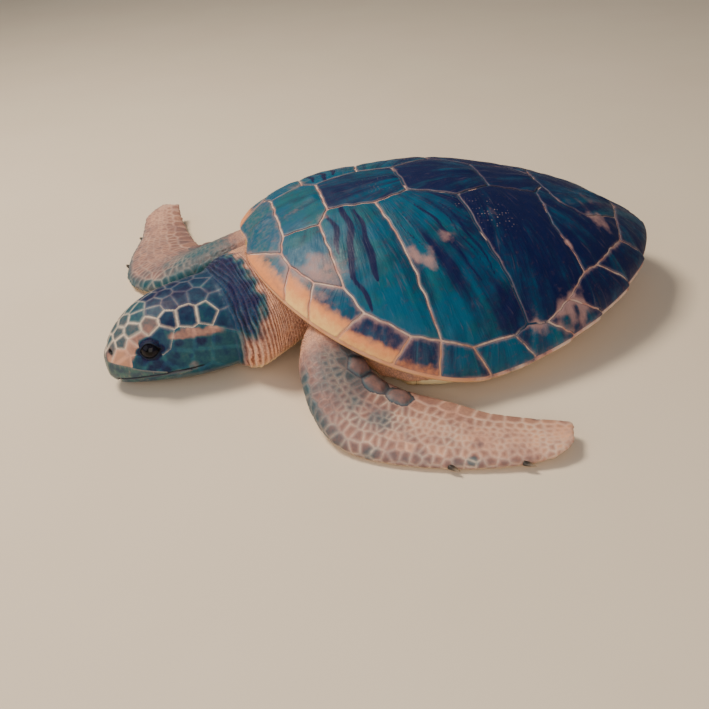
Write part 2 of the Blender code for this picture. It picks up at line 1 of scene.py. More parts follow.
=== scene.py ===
"""Finish of a life-size loggerhead turtle: horny shell plates, scaled skin, beak, eyes and claws.

Lengths are metres. Shapes are laid out in the shell's own frame: the turtle faces -Y, its left side
is at +X, the floor is at z = 0 and the middle of the carapace's width is x = 0. `Home` moves them
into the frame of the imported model.
"""

import logging
import math
from dataclasses import dataclass, field, replace
from enum import Enum
from typing import Iterable, Sequence

import bmesh
import bpy
import numpy as np
from bpy.types import Material, Mesh, Node, NodeSocket, NodeTree, Object
from mathutils import Matrix, Vector, geometry, kdtree


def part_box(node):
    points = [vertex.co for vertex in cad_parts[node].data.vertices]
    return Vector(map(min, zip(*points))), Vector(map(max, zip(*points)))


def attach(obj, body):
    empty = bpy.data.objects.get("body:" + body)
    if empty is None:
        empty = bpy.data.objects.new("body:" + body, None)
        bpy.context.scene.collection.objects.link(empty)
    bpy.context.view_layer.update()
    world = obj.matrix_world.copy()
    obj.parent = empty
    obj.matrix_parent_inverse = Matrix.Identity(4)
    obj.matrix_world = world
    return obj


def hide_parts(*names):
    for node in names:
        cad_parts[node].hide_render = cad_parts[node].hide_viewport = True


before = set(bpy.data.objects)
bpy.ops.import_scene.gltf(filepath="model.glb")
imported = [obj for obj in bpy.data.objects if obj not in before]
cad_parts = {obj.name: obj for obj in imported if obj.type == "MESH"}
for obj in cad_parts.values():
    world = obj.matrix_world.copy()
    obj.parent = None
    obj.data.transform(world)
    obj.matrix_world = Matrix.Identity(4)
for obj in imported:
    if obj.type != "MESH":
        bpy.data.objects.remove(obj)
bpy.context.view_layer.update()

log = logging.getLogger("turtle")
Array = np.ndarray
Keys = Sequence[tuple[float, ...]]
MM = 0.001


class Slot(Enum):
    """Finish slots that the record names."""

    CARAPACE = "carapace"
    PLASTRON = "plastron"
    SKIN = "skin"
    BEAK = "beak"
    EYE = "eye"
    CLAW = "claw"


# ---- Small maths ----
def smooth(keys: Keys, t: Array | float) -> Array:
    """Read a smooth curve through keys, with no overshoot between them.

    Args:
        keys: (position, value, ...) rows in rising order of position.
        t: where to read the curve.

    Returns:
        The values at t, with one more axis where the keys hold several values.
    """
    table = np.array(keys, float)
    xs, ys = table[:, 0], table[:, 1:]
    h = np.diff(xs)[:, None]
    slope = np.diff(ys, axis=0) / h
    tangent = np.zeros_like(ys)
    tangent[0], tangent[-1] = slope[0], slope[-1]
    level = slope[:-1] * slope[1:] <= 0
    total = np.where(level, 1.0, slope[:-1] + slope[1:])
    tangent[1:-1] = np.where(level, 0.0, 2 * slope[:-1] * slope[1:] / total)
    t = np.asarray(t, float)
    i = np.clip(np.searchsorted(xs, t) - 1, 0, len(h) - 1)
    u = np.clip((t - xs[i]) / h[i, 0], 0.0, 1.0)[..., None]
    made = (ys[i] * (1 + 2 * u) * (1 - u) ** 2 + ys[i + 1] * u * u * (3 - 2 * u)
            + h[i] * (tangent[i] * u * (1 - u) ** 2 + tangent[i + 1] * u * u * (u - 1)))
    return made[..., 0] if ys.shape[1] == 1 else made


def ease(low: float, high: float, t: Array) -> Array:
    """Rise smoothly from 0 at low to 1 at high; the rise is a fall where low is above high."""
    u = np.clip((np.asarray(t, float) - low) / (high - low), 0.0, 1.0)
    return u * u * (3 - 2 * u)


def mixed(low: Array, high: Array | float, share: Array) -> Array:
    """Go from low at a share of 0 to high at 1."""
    return low * (1 - share) + high * share


def unit(v: Array) -> Array:
    """Scale vectors to length 1."""
    return v / np.maximum(np.linalg.norm(v, axis=-1, keepdims=True), 1e-12)


def waves(co: Array, size: float, seed: int) -> Array:
    """Soft uneven swell over space, from a few sine waves in seeded directions.

    Args:
        co: points, in metres.
        size: distance from one crest to the next.
        seed: which swell.

    Returns:
        Values of about -1 to 1.
    """
    rng = np.random.default_rng(seed)
    total = np.zeros(len(co))
    for _ in range(6):
        way = unit(rng.normal(size=co.shape[1])) * 2 * math.pi / size * rng.uniform(0.7, 1.4)
        total += np.sin(co @ way + rng.uniform(0, 2 * math.pi))
    return total / 3.0


def near_line(points: Array, a: Array, b: Array) -> Array:
    """Distance from each point to the nearest of many segments.

    Args:
        points: flat points, one row each.
        a: first ends of the segments.
        b: second ends of the segments.

    Returns:
        One distance for each point.
    """
    along = b - a
    size = np.maximum((along ** 2).sum(1), 1e-18)
    out = np.empty(len(points))
    for start in range(0, len(points), 2000):
        p = points[start:start + 2000, None, :] - a[None]
        share = np.clip((p * along).sum(2) / size, 0, 1)
        out[start:start + 2000] = np.sqrt(((p - share[..., None] * along) ** 2).sum(2).min(1))
    return out


# ---- Materials ----
def linear(code: str) -> tuple[float, float, float, float]:
    """Turn an sRGB hex colour into linear RGBA."""
    parts = [int(code[i:i + 2], 16) / 255 for i in (1, 3, 5)]
    return (*(c / 12.92 if c <= 0.04045 else ((c + 0.055) / 1.055) ** 2.4 for c in parts), 1.0)


def add(tree: NodeTree, kind: str, inputs: dict | None = None, stops: Sequence = (),
        **settings: object) -> Node:
    """Add a node, set it up and link it.

    Args:
        tree: the material's node tree.
        kind: the node's type, without the leading ShaderNode.
        inputs: socket name or number, then a value, a hex colour or the field to link from.
        stops: (position, hex colour) pairs of a colour ramp.
        settings: the node's own properties.

    Returns:
        The node.
    """
    made = tree.nodes.new("ShaderNode" + kind)
    for name, value in settings.items():
        setattr(made, name, value)
    for name, value in (inputs or {}).items():
        fill(tree, made.inputs[name], value)
    if stops:
        ramp = made.color_ramp.elements
        while len(ramp) < len(stops):
            ramp.new(1.0)
        for element, (place, code) in zip(ramp, stops):
            element.position = place
            element.color = linear(code)
    return made


def fill(tree: NodeTree, socket: NodeSocket, value: object) -> None:
    """Give a socket what it reads.

    Args:
        tree: the material's node tree.
        socket: the socket.
        value: a value, a hex colour or the field to link from.
    """
    if isinstance(value, Field):
        tree.links.new(value.socket, socket)
    else:
        socket.default_value = linear(value) if isinstance(value, str) else value


class Field:
    """A value that varies over a surface: a node's output that sums like a plain number."""

    def __init__(self, tree: NodeTree, socket: NodeSocket) -> None:
        """Keep the output and the tree it is in."""
        self.tree, self.socket = tree, socket

    def math(self, how: str, other: object = 0.0, third: object = 0.0) -> "Field":
        """Work out one number from this and up to two others."""
        made = add(self.tree, "Math", {0: self, 1: other, 2: third}, operation=how)
        return Field(self.tree, made.outputs[0])

    def __add__(self, other: object) -> "Field":
        """Add."""
        return self.math("ADD", other)

    def __mul__(self, other: object) -> "Field":
        """Multiply."""
        return self.math("MULTIPLY", other)

    def wander(self, noise: "Field", size: float) -> "Field":
        """Let the value wander with noise of 0 to 1, by size from end to end."""
        return noise.math("SUBTRACT", 0.5).math("MULTIPLY_ADD", size, self)

    def ramp(self, low: float, high: float, start: float = 0.0, end: float = 1.0,
             kind: str = "SMOOTHSTEP") -> "Field":
        """Go from one number to another as the value goes from low to high.

        Args:
            low: where the first number holds; it may be above high.
            high: where the second one holds.
            start: the first number.
            end: the second number.
            kind: the curve between them.

        Returns:
            The number.
        """
        if low > high:
            low, high, start, end = high, low, end, start
        made = add(self.tree, "MapRange", {0: self, 1: low, 2: high, 3: start, 4: end},
                   interpolation_type=kind)
        return Field(self.tree, made.outputs[0])


class Look:
    """A material in the making, on its Principled shader."""

    def __init__(self, name: str) -> None:
        """Start a material.

        Args:
            name: what the material is.
        """
        self.material = bpy.data.materials.new(name)
        self.material.use_nodes = True
        self.tree = self.material.node_tree
        self.space = self.node("TexCoord", output="Object")

    def node(self, kind: str, inputs: dict | None = None, output: int | str = 0,
             **settings: object) -> Field:
        """Add a node and take one of its outputs."""
        return Field(self.tree, add(self.tree, kind, inputs, **settings).outputs[output])

    def values(self, names: str) -> list[Field]:
        """Read numbers that are stored on the mesh."""
        return [self.node("Attribute", output="Fac", attribute_name=name) for name in names.split()]

    def grain(self, size: float, detail: float = 3.0, at: Field | None = None) -> Field:
        """Cloudy noise whose blotches are about size metres across."""
        return self.node("TexNoise", {"Vector": at or self.space, "Scale": 1.0 / size,
                                      "Detail": detail, "Roughness": 0.55})

    def layered(self, colour: object, *layers: tuple) -> Field:
        """Lay colours over one another.

        Args:
            colour: the lowest, a hex colour or a field.
            layers: how strongly each next colour covers, the colour, and the way it mixes if not
                plainly.

        Returns:
            The colour that shows.
        """
        for how, over, *mode in layers:
            colour = self.node("Mix", {0: how, 6: colour, 7: over}, 2, data_type="RGBA",
                               blend_type=(mode or ["MIX"])[0], clamp_factor=True)
        return colour

    def finished(self, inputs: dict, relief: Field | None = None, strength: float = 0.0,
                 depth: float = 0.0) -> Material:
        """Set the shader up.

        Args:
            inputs: the shader's inputs by name.
            relief: the surface's fine relief, if it has any.
            strength: how strongly the relief shows.
            depth: height of a relief of 1.

        Returns:
            The material.
        """
        if relief:
            inputs["Normal"] = self.node("Bump", {"Strength": strength, "Distance": depth,
                                                  "Height": relief})
        shader = self.tree.nodes["Principled BSDF"]
        for name, value in inputs.items():
            fill(self.tree, shader.inputs[name], value)
        return self.material


# ---- Meshes ----
@dataclass(frozen=True)
class Home:
    """Where the shell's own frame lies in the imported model."""

    x: float
    y: float

    @classmethod
    def found(cls, tail_y: float) -> "Home":
        """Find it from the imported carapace, whose hind edge is at tail_y in the shell's frame."""
        low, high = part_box("carapace")
        return cls((low[0] + high[0]) / 2, high[1] - tail_y)

    def put(self, co: Array) -> Array:
        """Move points from the shell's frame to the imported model's."""
        return np.asarray(co, float) + (self.x, self.y, 0.0)

    def take(self, co: Array) -> Array:
        """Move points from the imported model's frame to the shell's."""
        return np.asarray(co, float) - (self.x, self.y, 0.0)


def placed(name: str, data: bpy.types.ID) -> Object:
    """Put a new object into the scene.

    Args:
        name: the object's name.
        data: what it shows: a mesh, a light or a camera.

    Returns:
        The object.
    """
    thing = bpy.data.objects.new(name, data)
    bpy.context.scene.collection.objects.link(thing)
    return thing


def modified(mesh: Mesh, kind: str, picked: Array | None = None, **settings: object) -> Mesh:
    """Run a modifier over a mesh.

    Args:
        mesh: the mesh, which is used up.
        kind: the modifier's type.
        picked: which points the modifier works on, if not on all.
        settings: the modifier's own properties.

    Returns:
        The new mesh.
    """
    thing = placed("rough", mesh)
    step = thing.modifiers.new("step", kind)
    if picked is not None:
        group = thing.vertex_groups.new(name="picked")
        group.add([int(i) for i in np.flatnonzero(picked)], 1.0, "REPLACE")
        step.vertex_group = group.name
    for name, value in settings.items():
        setattr(step, name, value)
    graph = bpy.context.evaluated_depsgraph_get()
    made = bpy.data.meshes.new_from_object(thing.evaluated_get(graph))
    bpy.data.objects.remove(thing)
    bpy.data.meshes.remove(mesh)
    return made


def make_piece(name: str, co: Array, faces: Iterable, home: Home,
               numbers: dict[str, Array] | None = None) -> Object:
    """Make a smooth-shaded object with numbers stored on its points.

    Args:
        name: the piece's name.
        co: points in the shell's frame.
        faces: point numbers of each face.
        home: where the shell's frame lies.
        numbers: name and values, one for each point.

    Returns:
        The object, linked to the scene.
    """
    mesh = bpy.data.meshes.new(name)
    mesh.from_pydata(home.put(co).tolist(), [], [tuple(int(i) for i in f) for f in faces])
    mesh.validate()
    mesh.shade_smooth()
    store(mesh, numbers or {})
    return placed(name, mesh)


def tube(rings: int, count: int) -> list[tuple[int, ...]]:
    """Number the faces of a closed tube.

    Args:
        rings: how many rings of points it has, one after the other.
        count: points in a ring.

    Returns:
        Point numbers of each face, both end caps last.
    """
    faces = [(r * count + k, r * count + (k + 1) % count, (r + 1) * count + (k + 1) % count,
              (r + 1) * count + k) for r in range(rings - 1) for k in range(count)]
    last = (rings - 1) * count
    return [*faces, tuple(range(count)), tuple(last + k for k in reversed(range(count)))]


def store(mesh: Mesh, numbers: dict[str, Array]) -> None:
    """Store numbers on a mesh's points for its material to read."""
    for name, values in numbers.items():
        mesh.attributes.new(name, "FLOAT", "POINT").data.foreach_set("value", values.astype(np.float32))


def settle(thing: Object, finish: Material,
           stands_for: Sequence[str] = ()) -> Object:
    """Dress a piece, hang it under the root body and hide the CAD nodes that it stands for.

    Args:
        thing: the piece.
        finish: its material.
        stands_for: CAD nodes that it replaces.

    Returns:
        The piece.
    """
    thing.data.materials.clear()
    thing.data.materials.append(finish)
    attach(thing, "root")
    if stands_for:
        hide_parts(*stands_for)
    log.info("%s: %d faces", thing.name, len(thing.data.polygons))
    return thing


def face_out(mesh: Mesh) -> None:
    """Turn a closed mesh's faces outward.

    Args:
        mesh: the mesh.
    """
    bm = bmesh.new()
    bm.from_mesh(mesh)
    bmesh.ops.recalc_face_normals(bm, faces=bm.faces)
    bm.to_mesh(mesh)
    bm.free()


def read(mesh: Mesh, what: str = "co") -> Array:
    """Read a mesh's points.

    Args:
        mesh: the mesh.
        what: "co" for where they are, "normal" for the way they face.

    Returns:
        One row for each point.
    """
    values = np.empty(len(mesh.vertices) * 3)
    mesh.vertices.foreach_get(what, values)
    return values.reshape(-1, 3)


def fused(solids: Sequence[Object], swell: float, voxel: float) -> Mesh:
    """Fuse solids into one smooth body.

    Args:
        solids: closed bodies, which stay as they are.
        swell: how far each is drawn out first, to close the clearances between them.
        voxel: size of the body's faces.

    Returns:
        The body's mesh.
    """
    bm = bmesh.new()
    for solid in solids:
        part = bmesh.new()
        part.from_mesh(solid.data)
        part.normal_update()
        for vert, move in [(v, v.normal * swell) for v in part.verts]:
            vert.co += move
        mesh = bpy.data.meshes.new("solid")
        part.to_mesh(mesh)
        part.free()
        bm.from_mesh(mesh)
        bpy.data.meshes.remove(mesh)
    mesh = bpy.data.meshes.new("solids")
    bm.to_mesh(mesh)
    bm.free()
    return modified(mesh, "REMESH", mode="VOXEL", voxel_size=voxel)


def relaxed(mesh: Mesh, co: Array, rounds: int) -> Array:
    """Smooth points along a mesh's edges without shrinking the body.

    Args:
        mesh: the mesh whose edges count.
        co: its points.
        rounds: how many times.

    Returns:
        The smoothed points.
    """
    edges = np.empty(len(mesh.edges) * 2, np.int64)
    mesh.edges.foreach_get("vertices", edges)
    a, b = edges.reshape(-1, 2).T
    count = np.bincount(np.concatenate([a, b]), minlength=len(co)).astype(float)[:, None]
    for _ in range(rounds):
        for size in (0.5, -0.52):
            total = np.stack([np.bincount(a, co[b, i], len(co)) + np.bincount(b, co[a, i], len(co))
                              for i in range(3)], axis=-1)
            co = co + size * (total / np.maximum(count, 1) - co)
    return co


# ---- Shell form ----
@dataclass(frozen=True)
class ShellForm:
    """Outline and dome of the carapace; its sizes are the CAD model's."""

    length: float = 0.61
    front: float = -0.30
    half_width: float = 0.267
    widest: float = 0.43
    front_flare: float = 0.20
    front_fullness: float = 0.5
    rear_fullness: float = 0.55
    keel_top: float = 0.209
    rim_front: float = 0.146
    rim_side: float = 0.034
    rim_rear: float = 0.090
    rim_lowest: float = 0.45
    rim_drop: float = 1.45
    rim_climb: float = 1.5
    flatness: float = 2.18
    shoulder: float = 0.71
    notch: float = 0.010
    notch_width: float = 0.035
    teeth: float = 0.0045
    teeth_start: float = 85.0
    teeth_rise: float = 40.0
    tooth_back: float = 0.9
    rim_thickness: float = 0.008
    thickness: float = 0.011
    inset: float = 0.90
    keel_front_rise: Keys = ((0.0, 0.0), (0.10, 0.51), (0.25, 0.89), (0.45, 1.0))
    keel_rear_rise: Keys = ((0.65, 0.81), (0.83, 0.50), (0.94, 0.19), (1.0, 0.0))
    # Hind edge of each marginal plate, in degrees about the rim from the nuchal.
    marginals: Sequence[float] = (9, 32, 41, 50, 66, 79, 93, 104, 115, 125, 138, 151, 176)

    @property
    def middle(self) -> float:
        """Y of the widest place, which the rim is drawn about."""
        return self.front + self.widest * self.length

    def flare(self, a: Array) -> Array:
        """Width factor at a part of the length."""
        return 1 + self.front_flare * (self.rim_lowest - a)

    def along(self, y: Array) -> Array:
        """Part of the shell's length, 0 at the nuchal and 1 at the tail."""
        return np.clip((np.asarray(y) - self.front) / self.length, 0, 1)

    def rim_height(self, y: Array) -> Array:
        """Measure the height of the rim's outer edge.

        Args:
            y: places along the shell.

        Returns:
            The height at each.
        """
        a = self.along(y)
        ahead = np.clip(1 - a / self.rim_lowest, 0, 1) ** self.rim_drop
        behind = np.clip((a - self.rim_lowest) / (1 - self.rim_lowest), 0, 1) ** self.rim_climb
        return (self.rim_side + (self.rim_front - self.rim_side) * ahead
                + (self.rim_rear - self.rim_side) * behind)

    def keel_height(self, y: Array) -> Array:
        """Measure the height of the dome's midline.

        Args:
            y: places along the shell.

        Returns:
            The height at each.
        """
        keys = [(a, self.rim_front + rise * (self.keel_top - self.rim_front))
                for a, rise in self.keel_front_rise]
        keys += [(a, self.rim_rear + rise * (self.keel_top - self.rim_rear))
                 for a, rise in self.keel_rear_rise]
        return smooth(keys, self.along(y))

    def width(self, y: Array) -> Array:
        """Measure the half width of the bare rim.

        Args:
            y: places along the shell.

        Returns:
            The half width at each.
        """
        a = self.along(y)
        reach = np.where(a < self.widest, self.widest, 1 - self.widest)
        off = np.clip(np.abs(a - self.widest) / reach, 0, 1)
        fullness = np.where(a < self.widest, self.front_fullness, self.rear_fullness)
        return self.half_width * (1 - off * off) ** fullness * self.flare(a)

    def dome(self, x: Array, y: Array) -> Array:
        """Measure the height of the carapace's outer surface.

        Args:
            x: how far left of the midline.
            y: how far along the shell.

        Returns:
            The height at each place.
        """
        across = np.clip(np.abs(x) / np.maximum(self.width(y), 1e-6), 0, 1)
        crown = (1 - across ** self.flatness) ** self.shoulder
        low = self.rim_height(y)
        return low + (self.keel_height(y) - low) * crown

    def rim(self, turn: Array) -> tuple[Array, Array]:
        """Find the bare rim in plan.

        Args:
            turn: 0 at the nuchal, growing to the left.

        Returns:
            x and y of each.
        """
        c, s = np.cos(turn), np.sin(turn)
        reach = np.where(c > 0, self.widest, 1 - self.widest)
        along = self.widest - reach * c
        fullness = np.where(c > 0, self.front_fullness, self.rear_fullness)
        x = self.half_width * np.abs(s) ** (2 * fullness) * np.sign(s) * self.flare(along)
        return x, self.front + along * self.length

    def tooth(self, turn: Array) -> Array:
        """Measure the teeth of the hind rim: each marginal slopes out to its hind corner.

        Args:
            turn: turns about the rim.

        Returns:
            How far the rim stands out at each.
        """
        degrees = np.degrees(turn) % 360
        degrees = np.where(degrees > 180, 360 - degrees, degrees)
        edges = np.array(self.marginals, float)
        i = np.clip(np.searchsorted(edges, degrees, side="right") - 1, 0, len(edges) - 2)
        share = (degrees - edges[i]) / (edges[i + 1] - edges[i])
        slope = self.tooth_back / (1 - self.tooth_back)
        out = np.where(share < self.tooth_back, share, (1 - share) * slope) - 0.5
        size = np.clip((degrees - self.teeth_start) / self.teeth_rise, 0, 1)
        inside = (degrees >= edges[0]) & (degrees < edges[-1])
        return np.where(inside, self.teeth * size * out, 0.0)


def polar(bearing: Array, away: Array) -> Array:
    """Find flat places by their bearing and their distance from the middle."""
    return np.stack([away * np.sin(bearing), -away * np.cos(bearing)], axis=-1)


class ShellMap:
    """The dome laid flat: lengths are true along every ray from the middle of the shell.

    A flat place is (p, q): p grows to the turtle's left, q to its tail.
    """

    TURNS = 720
    STEPS = 240
    EDGE_START = 0.90          # teeth and nuchal hollow fade out inward to this part of the way

    def __init__(self, form: ShellForm) -> None:
        """Measure the dome along its rays.

        Args:
            form: the dome.
        """
        self.form = form
        self.turns = np.linspace(0, 2 * math.pi, self.TURNS + 1)
        rim_x, rim_y = form.rim(self.turns)
        self.reach = np.hypot(rim_x, rim_y - form.middle)
        self.bearing = np.unwrap(np.arctan2(rim_x, form.middle - rim_y))
        self.bearing -= self.bearing[0]
        share = np.linspace(0, 1, self.STEPS + 1)
        parts = 1 - (1 - share) ** 2
        x = rim_x[:, None] * parts
        y = form.middle + (rim_y - form.middle)[:, None] * parts
        self.parts = parts
        self.high = form.dome(x, y)
        step = np.sqrt(np.diff(x) ** 2 + np.diff(y) ** 2 + np.diff(self.high) ** 2)
        self.arc = np.concatenate([np.zeros((len(x), 1)), np.cumsum(step, axis=1)], axis=1)

    def row(self, bearing: Array) -> tuple[Array, Array]:
        """Find the rays that bearings fall between.

        Args:
            bearing: bearings in radians.

        Returns:
            Number of the ray before each, and the share of the way to the next one.
        """
        i = np.interp(np.asarray(bearing) % (2 * math.pi), self.bearing, np.arange(len(self.turns)))
        whole = np.clip(i.astype(int), 0, self.TURNS - 1)
        return whole, i - whole

    def read(self, table: Array, i: Array, f: Array, k: Array, g: Array) -> Array:
        """Read a table of the dome.

        Args:
            table: values by ray and step.
            i: ray numbers.
            f: shares of the way to the next ray.
            k: step numbers.
            g: shares of the way to the next step.

        Returns:
            The values there.
        """
        near, far = (mixed(table[n, k], table[n, k + 1], g) for n in (i, i + 1))
        return mixed(near, far, f)

    def rim_away(self, bearing: Array) -> Array:
        """Flat distance from the middle to the rim at bearings."""
        i, f = self.row(bearing)
        return mixed(self.arc[i, -1], self.arc[i + 1, -1], f)

    def flat(self, x: Array, y: Array) -> Array:
        """Lay points flat.

        Args:
            x: how far left of the midline each is in plan.
            y: where each is along the shell.

        Returns:
            Their flat places.
        """
        x, y = np.atleast_1d(x), np.atleast_1d(y)
        bearing = np.arctan2(x, self.form.middle - y)
        i, f = self.row(bearing)
        reach = mixed(self.reach[i], self.reach[i + 1], f)
        part = np.clip(np.hypot(x, y - self.form.middle) / reach, 0, 1)
        k = (1 - np.sqrt(1 - part)) * self.STEPS
        low = np.clip(k.astype(int), 0, self.STEPS - 1)
        return polar(bearing, self.read(self.arc, i, f, low, k - low))

    def rim_flat(self, turn: Array) -> Array:
        """Lay the rim flat.

        Args:
            turn: turns about the rim.

        Returns:
            Flat place of each.
        """
        x, y = self.form.rim(turn)
        bearing = np.arctan2(x, self.form.middle - y)
        return polar(bearing, self.rim_away(bearing))

    def surface(self, flat: Array) -> tuple[Array, Array]:
        """Find points of the dome.

        Args:
            flat: flat places, one row each.

        Returns:
            The points in space, and how far each lies towards the rim, 0 to 1.
        """
        bearing = np.arctan2(flat[:, 0], -flat[:, 1])
        r = np.hypot(flat[:, 0], flat[:, 1])
        i, f = self.row(bearing)
        arc = mixed(self.arc[i], self.arc[i + 1], f[:, None])
        r = np.minimum(r, arc[:, -1])
        k = np.clip((arc <= r[:, None]).sum(1) - 1, 0, self.STEPS - 1)
        n = np.arange(len(k))
        g = (r - arc[n, k]) / np.maximum(arc[n, k + 1] - arc[n, k], 1e-12)
        part = mixed(self.parts[k], self.parts[k + 1], g)
        reach = mixed(self.reach[i], self.reach[i + 1], f)
        turn = mixed(self.turns[i], self.turns[i + 1], f)
        weight = ease(self.EDGE_START, 1.0, part)
        out = part * reach + self.form.tooth(turn) * weight
        x, y = out * np.sin(bearing), self.form.middle - out * np.cos(bearing)
        hollow = self.form.notch * np.exp(-(x / self.form.notch_width) ** 2)
        y = y + np.where(np.cos(turn) > 0.8, hollow * weight, 0.0)
        return np.stack([x, y, self.read(self.high, i, f, k, g)], axis=-1), part

    def lifted(self, flat: Array, lift: Array | float) -> Array:
        """Points standing off the dome.

        Args:
            flat: flat places, one row each.
            lift: height over the dome, square to it.

        Returns:
            The points in space.
        """
        step = 0.4 * MM
        here, _ = self.surface(flat)
        ahead, _ = self.surface(flat * (1 - step / np.maximum(np.linalg.norm(flat, axis=1), step))[:, None])
        way = unit(flat)
        side = np.stack([-way[:, 1], way[:, 0]], axis=-1)
        beside, _ = self.surface(flat + side * step)
        normal = unit(np.cross(here - ahead, beside - here))
        normal[normal[:, 2] < -0.2] *= -1
        return here + normal * np.reshape(lift, (-1, 1))


# ---- Carapace ----
@dataclass(frozen=True)
class PlateHorn:
    """Keratin plates, grown and worn: a satin horn, dark teal with navy rays and pale worn edges.

    Keratin's IOR is about 1.54. The rays are 5 to 12 mm wide on a real plate, the growth lines
    about 3 mm apart.
    """

    teal: str = "#02506d"
    green: str = "#0d5a66"
    navy: str = "#031040"
    umber: str = "#3a2a3c"
    blush: str = "#a8827c"
    amber: str = "#e39058"
    straw: str = "#f8cb7c"
    edge: str = "#a08a88"
    ray_width: float = 9 * MM
    ring_gap: float = 3.2 * MM
    speck_gap: float = 5 * MM

    def made(self) -> Material:
        """Make the material.

        Returns:
            The material.
        """
        look = Look("plate_keratin")
        across, along, tone, shade, specks, streak, blush, warm, inset, worn = look.values(
            "across along tone shade specks streak blush warm inset worn")
        rays = look.node("CombineXYZ", {0: across.math("DIVIDE", self.ray_width), 2: tone * 40.0,
                                        1: along.math("DIVIDE", 9 * self.ray_width)})
        wide = look.node("TexNoise", {"Vector": rays, "Scale": 0.55, "Detail": 2.0, "Distortion": 0.25})
        fine = look.node("TexNoise", {"Vector": rays, "Scale": 2.3, "Detail": 4.0, "Distortion": 0.4})
        cloud, mottle = look.grain(45 * MM), look.grain(7 * MM, 4.0)
        dark = shade.wander(wide, 1.1).wander(fine, 0.32).wander(cloud, 0.7).wander(mottle, 0.30)
        dots = look.node("TexVoronoi", {"Vector": look.space, "Scale": 1 / self.speck_gap,
                                        "Randomness": 0.35}, feature="F1")
        warm = warm.wander(mottle, 0.42)
        inset = inset.wander(mottle, 2.2 * MM)
        horn = look.layered(
            self.teal, (cloud.ramp(0.40, 0.66), self.green), (dark.ramp(0.15, 0.85), self.navy),
            (mottle.ramp(0.55, 0.75) * 0.25, self.umber), (fine.ramp(0.58, 0.82) * 0.16, self.edge),
            (dots.ramp(0.26, 0.14) * specks * 0.75, self.edge),
            (streak.wander(fine, 0.8).ramp(0.25, 0.85), self.navy),
            (blush.wander(mottle, 1.1).ramp(0.15, 1.35) * 0.80, self.blush),
            (warm.ramp(0.12, 0.70), self.amber), (warm.ramp(0.62, 1.10), self.straw),
            (inset.ramp(2.6 * MM, 0.0) * worn, self.edge))
        ring = (inset * (2 * math.pi / self.ring_gap)).math("SINE")
        ring = ring * inset.ramp(30 * MM, 4 * MM) * cloud.ramp(0.42, 0.60)
        return look.finished({"Base Color": horn, "IOR": 1.54, "Specular IOR Level": 0.25,
                              "Roughness": mottle.ramp(0.3, 0.7, 0.42, 0.58, "LINEAR")},
                             fine * 2.0 + ring * 0.10 + mottle * 0.8, 0.55, 0.5 * MM)


@dataclass(frozen=True)
class SeamHorn:
    """New keratin in the seams and along the rim: matt, pale and pinkish, so that plates stand out."""

    pale: str = "#d0b5a4"
    rose: str = "#b98478"
    deep: str = "#173a55"
    amber: str = "#dd9a68"
    under: str = "#d8b77a"

    def made(self) -> Material:
        """Make the material.

        Returns:
            The material.
        """
        look = Look("pale_seam_keratin")
        deep, warm, below = look.values("deep warm below")
        colour = look.layered(
            self.pale, (look.grain(22 * MM, 4.0).ramp(0.40, 0.62), self.rose),
            (deep.wander(look.grain(5 * MM, 4.0), 0.9).ramp(0.2, 0.9), self.deep),
            (warm, self.amber), (below, self.under))
        return look.finished({"Base Color": colour, "Roughness": 0.60, "IOR": 1.54,
                              "Specular IOR Level": 0.25}, look.grain(1.5 * MM), 0.4, 0.4 * MM)


